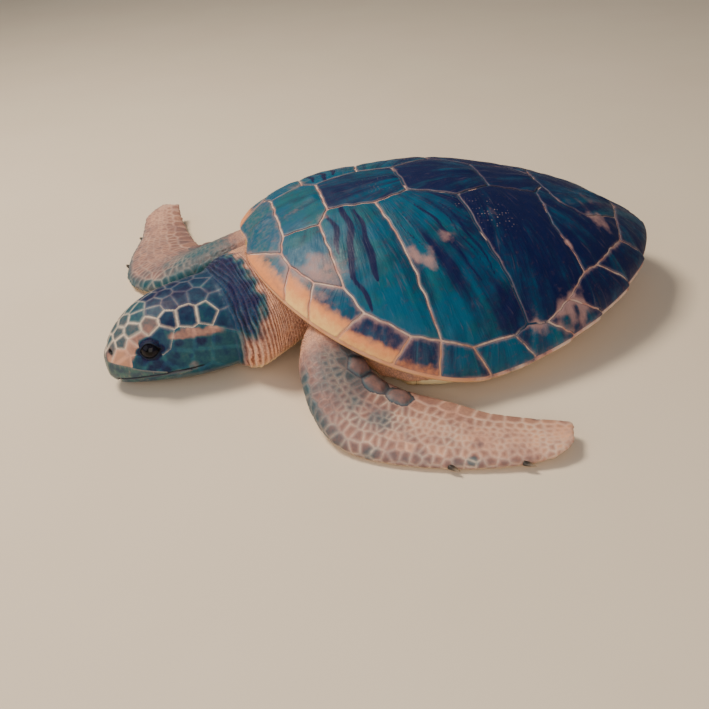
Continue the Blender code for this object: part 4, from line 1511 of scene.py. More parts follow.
@dataclass(frozen=True)
class Limb:
    """A limb fanned between a leading and a trailing edge, as in the CAD model."""

    stations: Sequence[tuple]         # leading edge, trailing edge, half thickness, all in mm
    claws: Sequence[float]
    scale: float = 1.0
    scales_from: float = 0.9          # place where the scales start
    root_hue: float = 0.0             # how much darker the root is than the blade
    blade_hue: float = 0.82
    middle_dark: float = 0.14         # how much darker the middle is
    tip_pale: float = 0.10            # how much paler the tip is
    lead_dark: float = 0.16           # how much darker the leading edge is
    seam: float = 0.45                # how pale the lines between the scales are
    lobes: Sequence[float] = ()       # places of big domed scales on the trailing edge
    lobe_across: float = 0.75
    lobe_gap: float = 24 * MM         # no small scale stands this near to a lobe's middle
    lobe_hue: float = 0.60
    marks: Keys = ()                  # patches: place, across, reach in mm, hue, strength
    lead_fullness: float = 0.25
    rows: Sequence[ScaleRow] = (
        ScaleRow(0.03, 12.5, 0.9, -0.13), ScaleRow(0.14, 10, 0.6, -0.06), ScaleRow(0.25, 8, 0.45, -0.03),
        ScaleRow(0.35, 7.5, 0.4, 0.0), ScaleRow(0.45, 7.5, 0.4, 0.0), ScaleRow(0.55, 8.5, 0.45, 0.0),
        ScaleRow(0.67, 12, 0.6, -0.02), ScaleRow(0.84, 19, 0.9, -0.03))

    @property
    def end(self) -> int:
        """Place of the tip; the stations are at 0, 1, 2 and on."""
        return len(self.stations) - 1

    def strip(self, places: Array) -> tuple[Array, Array, Array]:
        """Read the limb's outline.

        Args:
            places: places along the limb.

        Returns:
            Leading edge, trailing edge and half thickness at each.
        """
        keys = [(n, *(v / 1000 for v in (*lead, *trail, half)))
                for n, (lead, trail, half) in enumerate(self.stations)]
        row = smooth(keys, places)
        return row[..., :3], row[..., 3:6], row[..., 6]

    def locate(self, co: Array) -> tuple[Array, Array, Array]:
        """Work out where points are on the limb.

        Args:
            co: points in the shell's frame.

        Returns:
            Place along the limb, place across it from the leading edge, and distance off it in plan.
        """
        places = np.linspace(0, self.end, 140)
        lead, trail, _ = self.strip(places)
        a, span = lead[:, :2], (trail - lead)[:, :2]
        size = (span ** 2).sum(1)
        place, across, away = (np.empty(len(co)) for _ in range(3))
        for start in range(0, len(co), 4000):
            off = co[start:start + 4000, None, :2] - a[None]
            share = (off * span).sum(2) / size
            gap = np.sqrt(((off - np.clip(share, 0, 1)[..., None] * span) ** 2).sum(2))
            best = gap.argmin(1)
            n = np.arange(len(best))
            place[start:start + 4000] = places[best]
            across[start:start + 4000] = share[n, best]
            away[start:start + 4000] = gap[n, best]
        return place, across, away

    def seeds(self, rng: np.random.Generator) -> Array:
        """Middles of the limb's scales.

        Args:
            rng: where the unevenness comes from.

        Returns:
            Rows of x, y, z, height of the dome, how far from its border it levels off, and hue.
        """
        made = []
        big = [(*self.on_face(place, self.lobe_across, 1), 5.0 * MM, 6.0 * MM, 0.0) for place in self.lobes]
        middles = np.array([row[:3] for row in big]).reshape(-1, 3)
        fine = np.linspace(0, self.end, 600)
        for row in self.rows:
            lead, trail, _ = self.strip(fine)
            line = lead + (trail - lead) * row.across
            run = np.concatenate([[0], np.cumsum(np.linalg.norm(np.diff(line, axis=0), axis=1))])
            for face in (1, -1):
                at = rng.uniform(0, row.spacing * MM)
                while at < run[-1]:
                    place = float(np.interp(at, run, fine))
                    across = np.clip(row.across + rng.normal(0, 0.018), 0.0, 1.0)
                    p = self.on_face(place, across, face)
                    hue = row.hue + rng.normal(0, 0.035)
                    if np.linalg.norm(middles - p, axis=1).min(initial=1.0) > self.lobe_gap:
                        made.append((*p, row.puff * MM * self.scale, 1.3 * MM, hue))
                    at += row.spacing * MM * self.scale * rng.uniform(0.8, 1.25)
        return np.array(made + big)

    def tone(self, co: Array, along: Array, across: Array,
             own: Array) -> Array:
        """Work out the hue of the limb's scales.

        Args:
            co: points in the shell's frame.
            along: place of each along the limb.
            across: place of each across it.
            own: how far each scale's own hue stands off.

        Returns:
            The hue of each point.
        """
        hue = np.maximum(self.blade_hue + own - self.root_hue * ease(4.4, 1.8, along), 0.47)
        middle = ease(0.10, 0.35, across) * ease(0.95, 0.70, across)
        hue -= self.middle_dark * middle * ease(5.0, 3.6, along) * ease(1.2, 2.4, along)
        hue += self.tip_pale * ease(5.5, 8.0, along)
        hue -= self.lead_dark * ease(0.10, 0.02, across) * ease(8.0, 6.5, along)
        for place, over, reach, mark, strength in self.marks:
            off = np.linalg.norm(co - self.on_face(place, over, 1), axis=1) / (reach * MM)
            hue = mixed(hue, mark, strength * ease(1.3, 0.4, off + 0.16 * waves(co, 14 * MM, 35)))
        return hue

    def on_face(self, place: float, across: float, face: int) -> Array:
        """Find a point of the limb's surface.

        Args:
            place: place along the limb.
            across: place across it.
            face: 1 for the upper side, -1 for the lower one.

        Returns:
            The point.
        """
        a, b, t = self.strip(np.array([place]))
        c = 1 - 2 * across
        p = a[0] + (b[0] - a[0]) * across
        p[2] += face * t[0] * math.sqrt(max(1 - c * c, 0)) * (1 + self.lead_fullness * c)
        return p


LEFT_ARM = Limb((
    ((160, -235, 75), (130, -150, 75), 34), ((212, -258, 55), (190, -175, 60), 34),
    ((262, -256, 34), (222, -168, 45), 30), ((315, -238, 16), (240, -150, 30), 22),
    ((352, -200, 9), (262, -115, 20), 17), ((380, -147, 8), (288, -75, 16), 14),
    ((400, -90, 8), (318, -40, 14), 12), ((412, -30, 10), (344, 10, 14), 10),
    ((414, 6, 14), (358, 33, 18), 7), ((404, 32, 20), (370, 46, 22), 3)), (5.6, 7.0), root_hue=0.18,
    lobes=(2.15, 2.95, 3.8), lead_dark=0.07,
    marks=((1.85, 0.5, 28, 0.48, 0.75), (3.85, 0.36, 19, 0.46, 0.8),
           (2.9, 0.42, 16, 0.50, 0.6), (6.0, 0.04, 8, 0.38, 0.9),
           (4.0, 0.02, 10, 0.42, 0.6), (7.0, 0.96, 6, 0.46, 0.7),
           (4.9, 0.06, 9, 0.58, 0.7), (6.0, 0.28, 8, 0.60, 0.6), (5.4, 0.30, 7, 0.62, 0.5),
           (7.0, 0.20, 11, 0.74, 0.6), (1.2, 0.08, 18, 0.62, 0.6)))
RIGHT_ARM = Limb((
    ((-110, -235, 75), (-185, -190, 75), 34), ((-118, -290, 58), (-212, -240, 60), 34),
    ((-116, -350, 44), (-220, -285, 48), 32), ((-124, -410, 28), (-228, -325, 36), 26),
    ((-155, -460, 14), (-250, -350, 24), 19), ((-215, -485, 9), (-290, -362, 17), 15),
    ((-285, -478, 9), (-340, -373, 16), 12), ((-355, -458, 12), (-395, -382, 20), 10),
    ((-420, -449, 22), (-428, -384, 29), 7), ((-446, -418, 34), (-442, -384, 33), 3)), (5.6, 7.0),
    root_hue=0.34, blade_hue=0.72, seam=0.22, lobes=(3.3, 4.0), lobe_across=0.88,
    marks=((1.15, 0.5, 52, 0.80, 0.9),))
LEFT_LEG = Limb((
    ((150, 55, 50), (78, 74, 50), 28), ((156, 105, 42), (78, 118, 42), 26),
    ((147, 152, 28), (68, 157, 30), 20), ((126, 192, 15), (53, 190, 17), 14),
    ((99, 225, 10), (40, 221, 12), 11), ((78, 248, 9), (36, 246, 10), 8), ((58, 262, 8), (44, 262, 8), 4)),
    (3.4, 4.4), scale=0.85, scales_from=0.4, root_hue=0.15, middle_dark=0.0, tip_pale=0.0, lead_dark=0.0)
RIGHT_LEG = replace(LEFT_LEG, stations=[((-a[0], *a[1:]), (-b[0], *b[1:]), h)
                                        for a, b, h in LEFT_LEG.stations])
LIMBS = {"fore_claw_left": LEFT_ARM, "fore_claw_right": RIGHT_ARM,
         "hind_claw_left": LEFT_LEG, "hind_claw_right": RIGHT_LEG}


# ---- Skin ----
@dataclass(frozen=True)
class ScaledHide:
    """Reptile skin, tanned by sun and salt: matt, with horny scales that take a dull shine.

    Hue runs from navy plates through teal and umber to dusty pink and cream skin. Scales are 7 to
    20 mm across, the grains between them 3 to 5 mm, the pores under 1 mm. IOR is that of skin, 1.45.
    Painted shade darkens the troughs of the neck's folds, the furrows between grains and the creases
    round scales, and a painted highlight lies on the fold crests; near-black painted shade fills the
    nostrils, the mouth's cut and the lids' edge.
    """

    hues: Sequence[tuple[float, str]] = (
        (0.0, "#0b1747"), (0.16, "#14405f"), (0.30, "#235a66"), (0.42, "#4b6068"), (0.50, "#68686b"),
        (0.60, "#856d6b"), (0.73, "#a87d70"), (0.86, "#cb9a83"), (1.0, "#e0a480"))
    # pale seams between plates; also the painted highlight on the crests of the neck's folds
    seam: str = "#d9c4ad"
    # darkens the middle of each horny plate; also the painted shade in the furrows between grains and in the
    # creases round scales
    furrow: str = "#43333f"
    # painted shade in the troughs of the neck's folds
    fold_trough_shade: str = "#7c5a58"
    belly: str = "#dcc094"
    # near-black painted shade in the nostrils, the mouth's cut and at the edge of the lids
    recess_shade: str = "#06070f"
    grain_size: float = 4.5 * MM
    pore_size: float = 0.9 * MM

    def made(self) -> Material:
        """Make the material.

        Returns:
            The material.
        """
        look = Look("scaled_hide")
        plate, edge, hue, seam, phase, folds, crease, belly, dark = look.values(
            "plate edge hue seam phase folds crease belly dark")
        cloud, speck = look.grain(16 * MM, 4.0), look.grain(3 * MM, 4.0)
        cells = look.node("TexVoronoi", {"Vector": look.space, "Scale": 1 / self.grain_size},
                          feature="DISTANCE_TO_EDGE")
        loose = plate * -1.0 + 1.0
        border = edge.wander(speck, 2.4 * MM)
        fold = phase.wander(speck, 1.8).wander(cloud, 5.0).math("SINE")
        patch = look.grain(9 * MM).ramp(0.32, 0.62) * 0.65 + 0.35
        place = hue.wander(cloud, 0.28).wander(speck, 0.22)
        colour = look.layered(
            look.node("ValToRGB", {0: place}, stops=self.hues),
            (edge.ramp(1.0 * MM, 4.5 * MM) * plate * 0.28, self.furrow, "MULTIPLY"),
            (border.ramp(4.5 * MM, 0.5 * MM) * plate * seam * 0.42, self.seam),
            (border.ramp(1.7 * MM, 0.3 * MM) * plate * cloud.ramp(0.25, 0.60) * seam, self.seam),
            # painted shade in the furrows between the grains of loose skin
            (cells.ramp(0.14, 0.02) * loose * 0.35, self.furrow),
            # painted shade in the troughs of the neck's folds
            (fold.ramp(0.05, -0.85) * folds * patch * 0.90, self.fold_trough_shade, "MULTIPLY"),
            # painted highlight on the crests of the neck's folds
            (fold.ramp(0.45, 0.98) * folds * (hue * 0.32 + 0.06), self.seam),
            # painted shade in the creases round scales, the pale belly, then near-black painted shade in the
            # nostrils, the mouth's cut and at the lids
            (crease * 0.85, self.furrow), (belly, self.belly), (dark, self.recess_shade))
        relief = (cells.math("MINIMUM", 0.25) * loose * 3.0 + look.grain(self.pore_size) * 0.35
                  + speck * 0.5 + fold * folds * 0.9)
        return look.finished({"Base Color": colour, "IOR": 1.45, "Specular IOR Level": 0.25,
                              "Roughness": (plate * cloud).ramp(0.0, 0.6, 0.68, 0.46, "LINEAR")},
                             relief, 0.7, 0.6 * MM)


@dataclass
class Lids:
    """Thick lids about one eye: an almond opening that hugs the eyeball."""

    head: HeadForm
    sign: int
    half_length: float = 13.6 * MM
    rise: float = 10.4 * MM
    drop: float = 8.8 * MM
    thick: float = 1.7 * MM
    tuck: float = 1.3 * MM
    reach: float = 9.5 * MM

    def opening(self, co: Array) -> tuple[Array, Array, Array]:
        """Measure points against the opening.

        Args:
            co: points in the shell's frame.

        Returns:
            Distance outside the opening (less than 0 inside), place off the eyeball's middle in the
            eye's own axes, and the height that the eyeball stands at there.
        """
        middle, axes = self.head.eye(self.sign)
        off = (co - middle) @ axes.T
        u, v = off[:, 0], off[:, 1]
        top = np.where(v > 0, self.rise, self.drop)
        inside = np.abs(u) < self.half_length
        share = np.clip(np.abs(u) / self.half_length, 0, 1)
        bound = top * (1 - share ** 2)
        slope = 2 * top * share / self.half_length
        gap = np.where(inside, (np.abs(v) - bound) / np.sqrt(1 + slope ** 2),
                       np.hypot(np.abs(u) - self.half_length, v))
        ball = np.sqrt(np.maximum(self.head.eye_radius ** 2 - u * u - v * v,
                                  (0.35 * self.head.eye_radius) ** 2))
        gap = np.where(off[:, 2] > 0, gap, 1.0)
        return gap, off, ball

    def shape(self, co: Array) -> Array:
        """Draw skin up to the lids and under the eyeball.

        Args:
            co: points in the shell's frame, changed in place.

        Returns:
            Distance of each point outside the opening.
        """
        gap, off, ball = self.opening(co)
        rim = ease(-1.3 * MM, 0.9 * MM, gap)
        goal = ball - self.tuck + (self.tuck + self.thick) * rim
        skin = off[:, 2]
        fold = 0.9 * MM * np.exp(-((gap - 5.0 * MM) / (1.1 * MM)) ** 2)
        blended = goal + (skin - goal) * ease(0.9 * MM, self.reach, gap) - fold
        _, axes = self.head.eye(self.sign)
        co += np.where(gap < self.reach, blended - skin, 0.0)[:, None] * axes[2]
        return gap


@dataclass
class Skin:
    """One hide over the neck, head, limbs and tail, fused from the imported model's flesh."""

    form: ShellForm
    head: HeadForm
    home: Home
    voxel: float = 3.6 * MM
    swell: float = 0.35 * MM         # closes the clearances between the solids
    flesh: Sequence[str] = ("trunk", "neck", "head", "tail", "upper_arm_left", "upper_arm_right",
                            "fore_flipper_left", "fore_flipper_right", "thigh_left", "thigh_right",
                            "hind_flipper_left", "hind_flipper_right")
    filled: Sequence[str] = ("upper_beak", "lower_jaw", "eye_left", "eye_right")

    @staticmethod
    def refine(mesh: Mesh, pick: Array) -> None:
        """Split every face between picked points in four, then smooth the mesh.

        Args:
            mesh: the hide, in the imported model's frame.
            pick: which points.
        """
        bm = bmesh.new()
        bm.from_mesh(mesh)
        edges = [e for e in bm.edges if pick[e.verts[0].index] and pick[e.verts[1].index]]
        bmesh.ops.subdivide_edges(bm, edges=edges, cuts=1, use_grid_fill=True)
        bm.to_mesh(mesh)
        bm.free()
        mesh.vertices.foreach_set("co", relaxed(mesh, read(mesh), 3).ravel())

    def hidden(self, co: Array) -> Array:
        """Find the part of the trunk that the shells hide.

        Args:
            co: points in the shell's frame.

        Returns:
            Which points are there.
        """
        a = self.form.along(co[:, 1])
        within = np.abs(co[:, 0]) < 0.78 * self.form.width(co[:, 1])
        on_legs = (co[:, 1] > 0.03) & (co[:, 2] < 0.075)
        return within & (a > 0.22) & (a < 0.80) & (co[:, 2] > 0.0) & ~on_legs

    def build(self) -> Object:
        """Build and dress the skin.

        Returns:
            The skin.
        """
        mesh = fused([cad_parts[n] for n in (*self.flesh, *self.filled)], self.swell, self.voxel)
        co = relaxed(mesh, read(mesh), 8)
        mesh.vertices.foreach_set("co", co.ravel())
        hidden = self.hidden(self.home.take(co))
        mesh = modified(mesh, "DECIMATE", hidden, ratio=1 - 0.85 * float(hidden.mean()),
                        use_collapse_triangulate=False)
        log.info("hide: %d faces", len(mesh.polygons))
        for margin, limbs in ((0.55, LIMBS.values()), (0.30, ())):
            co = self.home.take(read(mesh))
            share, left, _ = self.head.place(co)
            pick = (share < 1 + margin) & (np.abs(left) < 0.12)
            for limb in limbs:
                place, _, away = limb.locate(co)
                pick |= (away < 12 * MM) & (place > 0.6) & (co[:, 2] < 0.09)
            self.refine(mesh, pick)
        log.info("refined: %d faces", len(mesh.polygons))
        numbers = Relief(mesh, self.head, self.home).laid()
        mesh.shade_smooth()
        store(mesh, numbers)
        mesh.name = "skin"
        return settle(placed("skin", mesh), ScaledHide().made(), self.flesh)


@dataclass
class Relief:
    """What stands on the hide or is sunk in it: plates, scales, folds, lids, nostrils and mouth.

    Each point of the hide has numbers that its colours are worked out from: plate and edge (on a
    horny plate, and how far in), hue, crease shade (painted shade in the creases round scales),
    seam (how pale the seams are), dark (near-black painted shade in the nostrils, the mouth's cut and
    at the lids), belly, and phase and folds (its turn through the folds of the neck, and how strong
    they are).
    """

    mesh: Mesh
    head: HeadForm
    home: Home
    fold_gap: float = 5.8 * MM       # from one fold of the neck to the next
    # Horny plates of the head: share in thousandths, degrees from the crown, then in hundredths hue
    # and how deep and pale their seams are.
    midline_plates: Keys = (
        (60, 0, 40, 90), (205, 0, 42, 95), (335, 0, 24, 35), (560, 0, 5, 13), (740, 0, 6, 10),
        (880, 0, 14, 12))
    paired_plates: Keys = (
        (55, 26, 50, 80), (128, 14, 44, 95), (125, 38, 48, 95), (235, 32, 46, 100), (300, 15, 30, 50),
        (372, 38, 58, 100), (470, 10, 6, 16), (445, 23, 14, 32), (510, 40, 7, 100), (575, 19, 4, 12),
        (668, 17, 5, 12), (662, 43, 9, 100), (800, 20, 13, 14), (832, 46, 20, 90), (960, 13, 12, 10),
        (955, 36, 14, 14), (960, 62, 16, 10), (590, 74, 25, 0), (740, 78, 25, 0), (890, 84, 25, 0),
        (540, 100, 25, 0), (700, 104, 25, 0), (860, 108, 25, 0), (420, 118, 25, 0), (580, 124, 25, 0),
        (760, 126, 25, 0), (300, 103, 25, 0), (210, 90, 20, 0), (120, 80, 86, 0), (200, 60, 84, 20),
        (100, 62, 86, 0), (245, 54, 70, 50), (430, 60, 20, 35))
    # Soft marks on both sides of the face: share in thousandths, degrees, reach in mm, then in
    # hundredths hue and strength.
    face_marks: Keys = (
        (95, 74, 12, 93, 100), (160, 71, 8, 88, 80), (30, 66, 9, 92, 100), (20, 40, 5, 80, 70),
        (225, 62, 6, 78, 60), (345, 44, 7, 74, 70), (545, 75, 6, 4, 90), (714, 79, 8, 2, 90),
        (840, 82, 7, 10, 70), (500, 92, 5, 6, 70), (610, 97, 4, 6, 60), (620, 112, 8, 62, 60),
        (500, 118, 7, 60, 60), (700, 92, 5, 44, 50), (400, 110, 9, 5, 90), (300, 106, 8, 3, 90),
        (245, 88, 9, 10, 90), (350, 98, 9, 2, 90), (450, 100, 7, 8, 70), (560, 128, 12, 46, 50))
    # Middle of the pink band over the cheek: share, degrees.
    band: Keys = ((0.46, 61.0), (0.56, 65.0), (0.66, 67.5), (0.76, 69.5), (0.90, 72.0))

    def __post_init__(self) -> None:
        """Find out where each point lies, and start its numbers."""
        self.co, self.normal = self.home.take(read(self.mesh)), read(self.mesh, "normal")
        self.share, self.left, self.degrees = self.head.place(self.co)
        size = len(self.co)
        self.on_head = (self.share < 1.06) & (np.abs(self.left) < 0.10)
        self.plate = np.where(self.on_head, ease(1.03, 0.975, self.share)
                              * ease(140, 128, np.abs(self.degrees)), 0.0)
        self.lift, self.crease, self.dark = np.zeros((3, size))
        self.hue, self.edge, self.seam = (np.full(size, value) for value in (0.80, 0.02, 0.5))

    @staticmethod
    def cells(co: Array, seeds: Array) -> tuple[Array, Array]:
        """Share points out among their nearest seeds.

        Args:
            co: the points.
            seeds: rows that start with x, y, z.

        Returns:
            Number of each point's seed, and its distance from the border of that seed's cell.
        """
        tree = kdtree.KDTree(len(seeds))
        for i, seed in enumerate(seeds):
            tree.insert(seed[:3], i)
        tree.balance()
        owner, edge = np.zeros(len(co), int), np.zeros(len(co))
        for i, p in enumerate(co):
            (_, first, near), *others = tree.find_n(p, 4)
            best = 1.0
            for _, other, far in others:
                apart = math.dist(seeds[first][:3], seeds[other][:3])
                best = min(best, (far * far - near * near) / (2 * max(apart, 1e-6)))
            owner[i], edge[i] = first, best
        return owner, edge

    def head_plates(self) -> None:
        """Lay the horny plates of the head."""
        rows = [*self.midline_plates, *((share, sign * degrees, *rest) for share, degrees, *rest
                                        in self.paired_plates for sign in (1, -1))]
        seeds = np.array([(*self.head.point(share, degrees), *rest)
                          for share, degrees, *rest in np.array(rows) / (1000, 1, 100, 100)])
        on = self.on_head
        owner, border = self.cells(self.co[on], seeds)
        self.hue[on], self.seam[on] = seeds[owner, 3:].T
        self.edge[on] = border
        swelling = 0.75 * MM * (1 - np.exp(-(border / (1.5 * MM)) ** 2)) - 0.5 * MM
        self.lift[on] += swelling * self.plate[on] * self.seam[on]

    def face(self) -> None:
        """Paint the soft marks, the pink band and the throat."""
        on = self.on_head
        co, share, turn = self.co[on], self.share[on], np.abs(self.degrees[on])
        quick, slow = waves(co, 9 * MM, 31), waves(co, 26 * MM, 32)
        hue = self.hue[on] + 0.05 * slow + 0.03 * quick
        for place, angle, reach, tone, strength in np.array(self.face_marks) / (1000, 1, 1000, 100, 100):
            off = np.minimum(*(np.linalg.norm(co - self.head.point(place, s * angle), axis=1)
                               for s in (1, -1)))
            hue = mixed(hue, tone, strength * ease(1.25, 0.55, off / reach + 0.12 * quick))
        off = turn - smooth(self.band, share) + 1.6 * slow + 1.2 * quick
        band = ease(8.5, 2.5, np.abs(off)) * ease(0.44, 0.50, share) * ease(0.96, 0.84, share)
        hue = mixed(hue, 0.76 + 0.06 * quick, band)
        self.hue[on] = hue + (0.80 - hue) * (ease(0.3, 0.9, share) * ease(142, 160, turn))

    def neck(self) -> None:
        """Fold the neck's skin and shade it: navy behind the head, cream and pink beyond."""
        co, height = self.co, self.co[:, 2]
        behind = (self.share - 1) * self.head.length
        side = np.abs(self.left)
        slow, quick = waves(co, 55 * MM, 3), waves(co, 17 * MM, 4)
        fan = ease(0.04, 0.12, behind)
        lean = height * (0.15 + 1.3 * fan) + side * 0.9 * fan
        turn = (behind + lean * 0.5 + 2.4 * MM * slow + 0.4 * MM * quick) * 2 * math.pi / self.fold_gap
        ridge = np.sin(turn) * (0.75 + 0.35 * waves(co, 22 * MM, 5)) + 0.45 * np.sin(turn * 0.5 + 2 * slow)
        folds = ease(-0.004, 0.006, behind) * ease(0.17, 0.09, behind) * ease(0.20, 0.13, side)
        folds = folds * (0.80 + 0.20 * slow) * (1 - 0.45 * ease(0.095, 0.118, height))
        # phase and folds also place the painted shade in the fold troughs and the painted highlight on the
        # crests
        self.phase, self.folds = turn, folds
        self.lift += folds * 1.0 * MM * np.where(ridge > 0, ridge, 1.25 * ridge)
        high = height + 7 * MM * slow + 3 * MM * quick
        reach = 0.024 + 0.015 * ease(0.090, 0.118, height)
        navy = ease(0.062, 0.092, high) * ease(reach + 0.014, reach - 0.014, behind + 4 * MM * quick)
        shade = 0.93 + 0.05 * ease(0.055, 0.025, height) - 0.90 * navy + 0.05 * quick
        self.hue = mixed(self.hue, shade, ease(0.0, 0.01, behind))

    def limb(self, limb: Limb, rng: np.random.Generator) -> None:
        """Lay the scales of a limb.

        Args:
            limb: the limb.
            rng: where their unevenness comes from.
        """
        place, across, away = limb.locate(self.co)
        near = (away < 9 * MM) & (place > limb.scales_from) & ~self.on_head & (self.co[:, 2] < 0.12)
        here = (ease(9 * MM, 3 * MM, away) * ease(0.7, 1.5, place))[near]
        seeds = limb.seeds(rng)
        co = self.co[near]
        owner, border = self.cells(co, seeds)
        _, _, _, puff, level, hue = seeds[owner].T
        big = puff > 3 * MM
        self.lift[near] += (puff * (1 - np.exp(-(border / level) ** 2)) - 0.25 * MM) * here
        along = place[near]
        tone = limb.tone(co, along, across[near], hue)
        tone = np.where(big, limb.lobe_hue - 0.15 * ease(6 * MM, 1.5 * MM, border), tone)
        self.hue[near] = mixed(self.hue[near], tone, here)
        self.edge[near] = border
        self.plate[near] = np.maximum(self.plate[near], here)
        self.folds[near] *= 1 - here
        patchy = 0.75 + 0.45 * waves(co, 45 * MM, 33)
        self.seam[near] = np.where(big, 0.0, limb.seam * patchy * (1 - 0.55 * ease(3.4, 1.6, along)))
        # Painted shade in the creases round the big domed scales and between the scales near the limb's
        # root.
        deep = np.where(big, 0.8 * ease(2.4 * MM, 0.4 * MM, border), 0)
        deep = np.maximum(deep, 0.55 * ease(1.3 * MM, 0.2 * MM, border) * ease(3.6, 2.2, along))
        self.crease[near] = np.maximum(self.crease[near], deep * here)

    def lids(self) -> None:
        """Draw the skin round the eyes into lids."""
        for sign in (1, -1):
            gap = Lids(self.head, sign).shape(self.co)
            ring = ease(8.5 * MM, 4.0 * MM, gap + 1.2 * MM * waves(self.co, 14 * MM, 34))
            self.plate = self.plate * (1 - ring)
            self.hue = mixed(self.hue, 0.03 + 0.05 * np.sin(gap / (0.9 * MM)), ring)
            # Near-black painted shade where the lids meet the eyeball, fading out over the lids.
            rim = np.maximum(ease(2.2 * MM, 0.4 * MM, gap), 0.55 * ease(7 * MM, 2 * MM, gap))
            self.dark = np.maximum(self.dark, rim)

    def snout(self) -> None:
        """Sink the nostrils and the line of the mouth, and paint near-black shade into both."""
        head = self.head
        for sign in (1, -1):
            off = self.co - head.point(0.036, sign * 31.0)
            slant = unit(head.side * sign * 0.8 + np.array([0, 0, -0.5]) - head.aim * 0.5)
            off = np.sqrt(np.maximum((off ** 2).sum(1) - 0.62 * (off @ slant) ** 2, 0))
            self.sink(3.6 * MM * np.exp(-(off / (2.9 * MM)) ** 2))
            # near-black painted shade inside the nostril
            self.dark = np.maximum(self.dark, ease(4.6 * MM, 2.6 * MM, off))
        along = ease(head.mouth_back, head.mouth_back - 0.06, self.share) * (np.abs(self.degrees) > 70)
        cut = np.exp(-(head.gape(self.share, self.co[:, 2]) / (1.9 * MM)) ** 2) * along
        self.sink(2.0 * MM * cut)
        # painted shade along the mouth's cut
        self.dark = np.maximum(self.dark, ease(0.35, 0.9, cut))

    def sink(self, depth: Array) -> None:
        """Sink points into the hide; where depth is below 0 they rise."""
        self.co = self.co - self.normal * depth[:, None]

    def laid(self) -> dict[str, Array]:
        """Shape the hide's mesh.

        Returns:
            Name and values of the numbers that its colours are worked out from.
        """
        self.head_plates()
        self.face()
        self.neck()
        rng = np.random.default_rng(11)
        for limb in LIMBS.values():
            self.limb(limb, rng)
        self.sink(-self.lift)
        self.lids()
        self.snout()
        co = self.co
        belly = ease(-0.35, -0.8, self.normal[:, 2]) * ease(0.10, 0.03, co[:, 2])
        co[:, 2] = np.maximum(co[:, 2], 0.0)
        self.mesh.vertices.foreach_set("co", self.home.put(co).ravel())
        return {"plate": self.plate, "edge": self.edge, "hue": self.hue, "crease": self.crease,
                "seam": self.seam, "dark": self.dark, "phase": self.phase, "folds": self.folds,
                "belly": belly * np.where(self.on_head, 0.15, 0.85)}


# ---- Beak, eyes and claws ----
@dataclass(frozen=True)
class BeakHorn:
    """Beak keratin, worn smooth by feeding: satin, olive-teal with amber streaks towards the edge, and
    painted shade along the line of the mouth.
    """

    olive: str = "#2f5a58"
    slate: str = "#15384c"
    amber: str = "#8f7a66"
    # painted shade along the line of the mouth
    gape: str = "#0a1226"

    def made(self) -> Material:
        """Make the material.

        Returns:
            The material.
        """
        look = Look("beak_keratin")
        inset, lip = look.values("inset lip")
        drawn = look.node("Mapping", {"Vector": look.space, "Scale": (1.0, 1.0, 0.22)})
        fine = look.grain(3.5 * MM, 4.0, drawn)
        colour = look.layered(
            self.slate, (look.grain(14 * MM).ramp(0.38, 0.62), self.olive),
            (fine.ramp(0.5, 0.75) * 0.5, self.amber), (inset.ramp(3 * MM, 0.4 * MM) * 0.25, self.amber),
            # painted shade along the line of the mouth
            (lip.ramp(3.0 * MM, 1.0 * MM), self.gape))
        return look.finished({"Base Color": colour, "Roughness": 0.38, "IOR": 1.54}, fine, 0.5, 0.35 * MM)


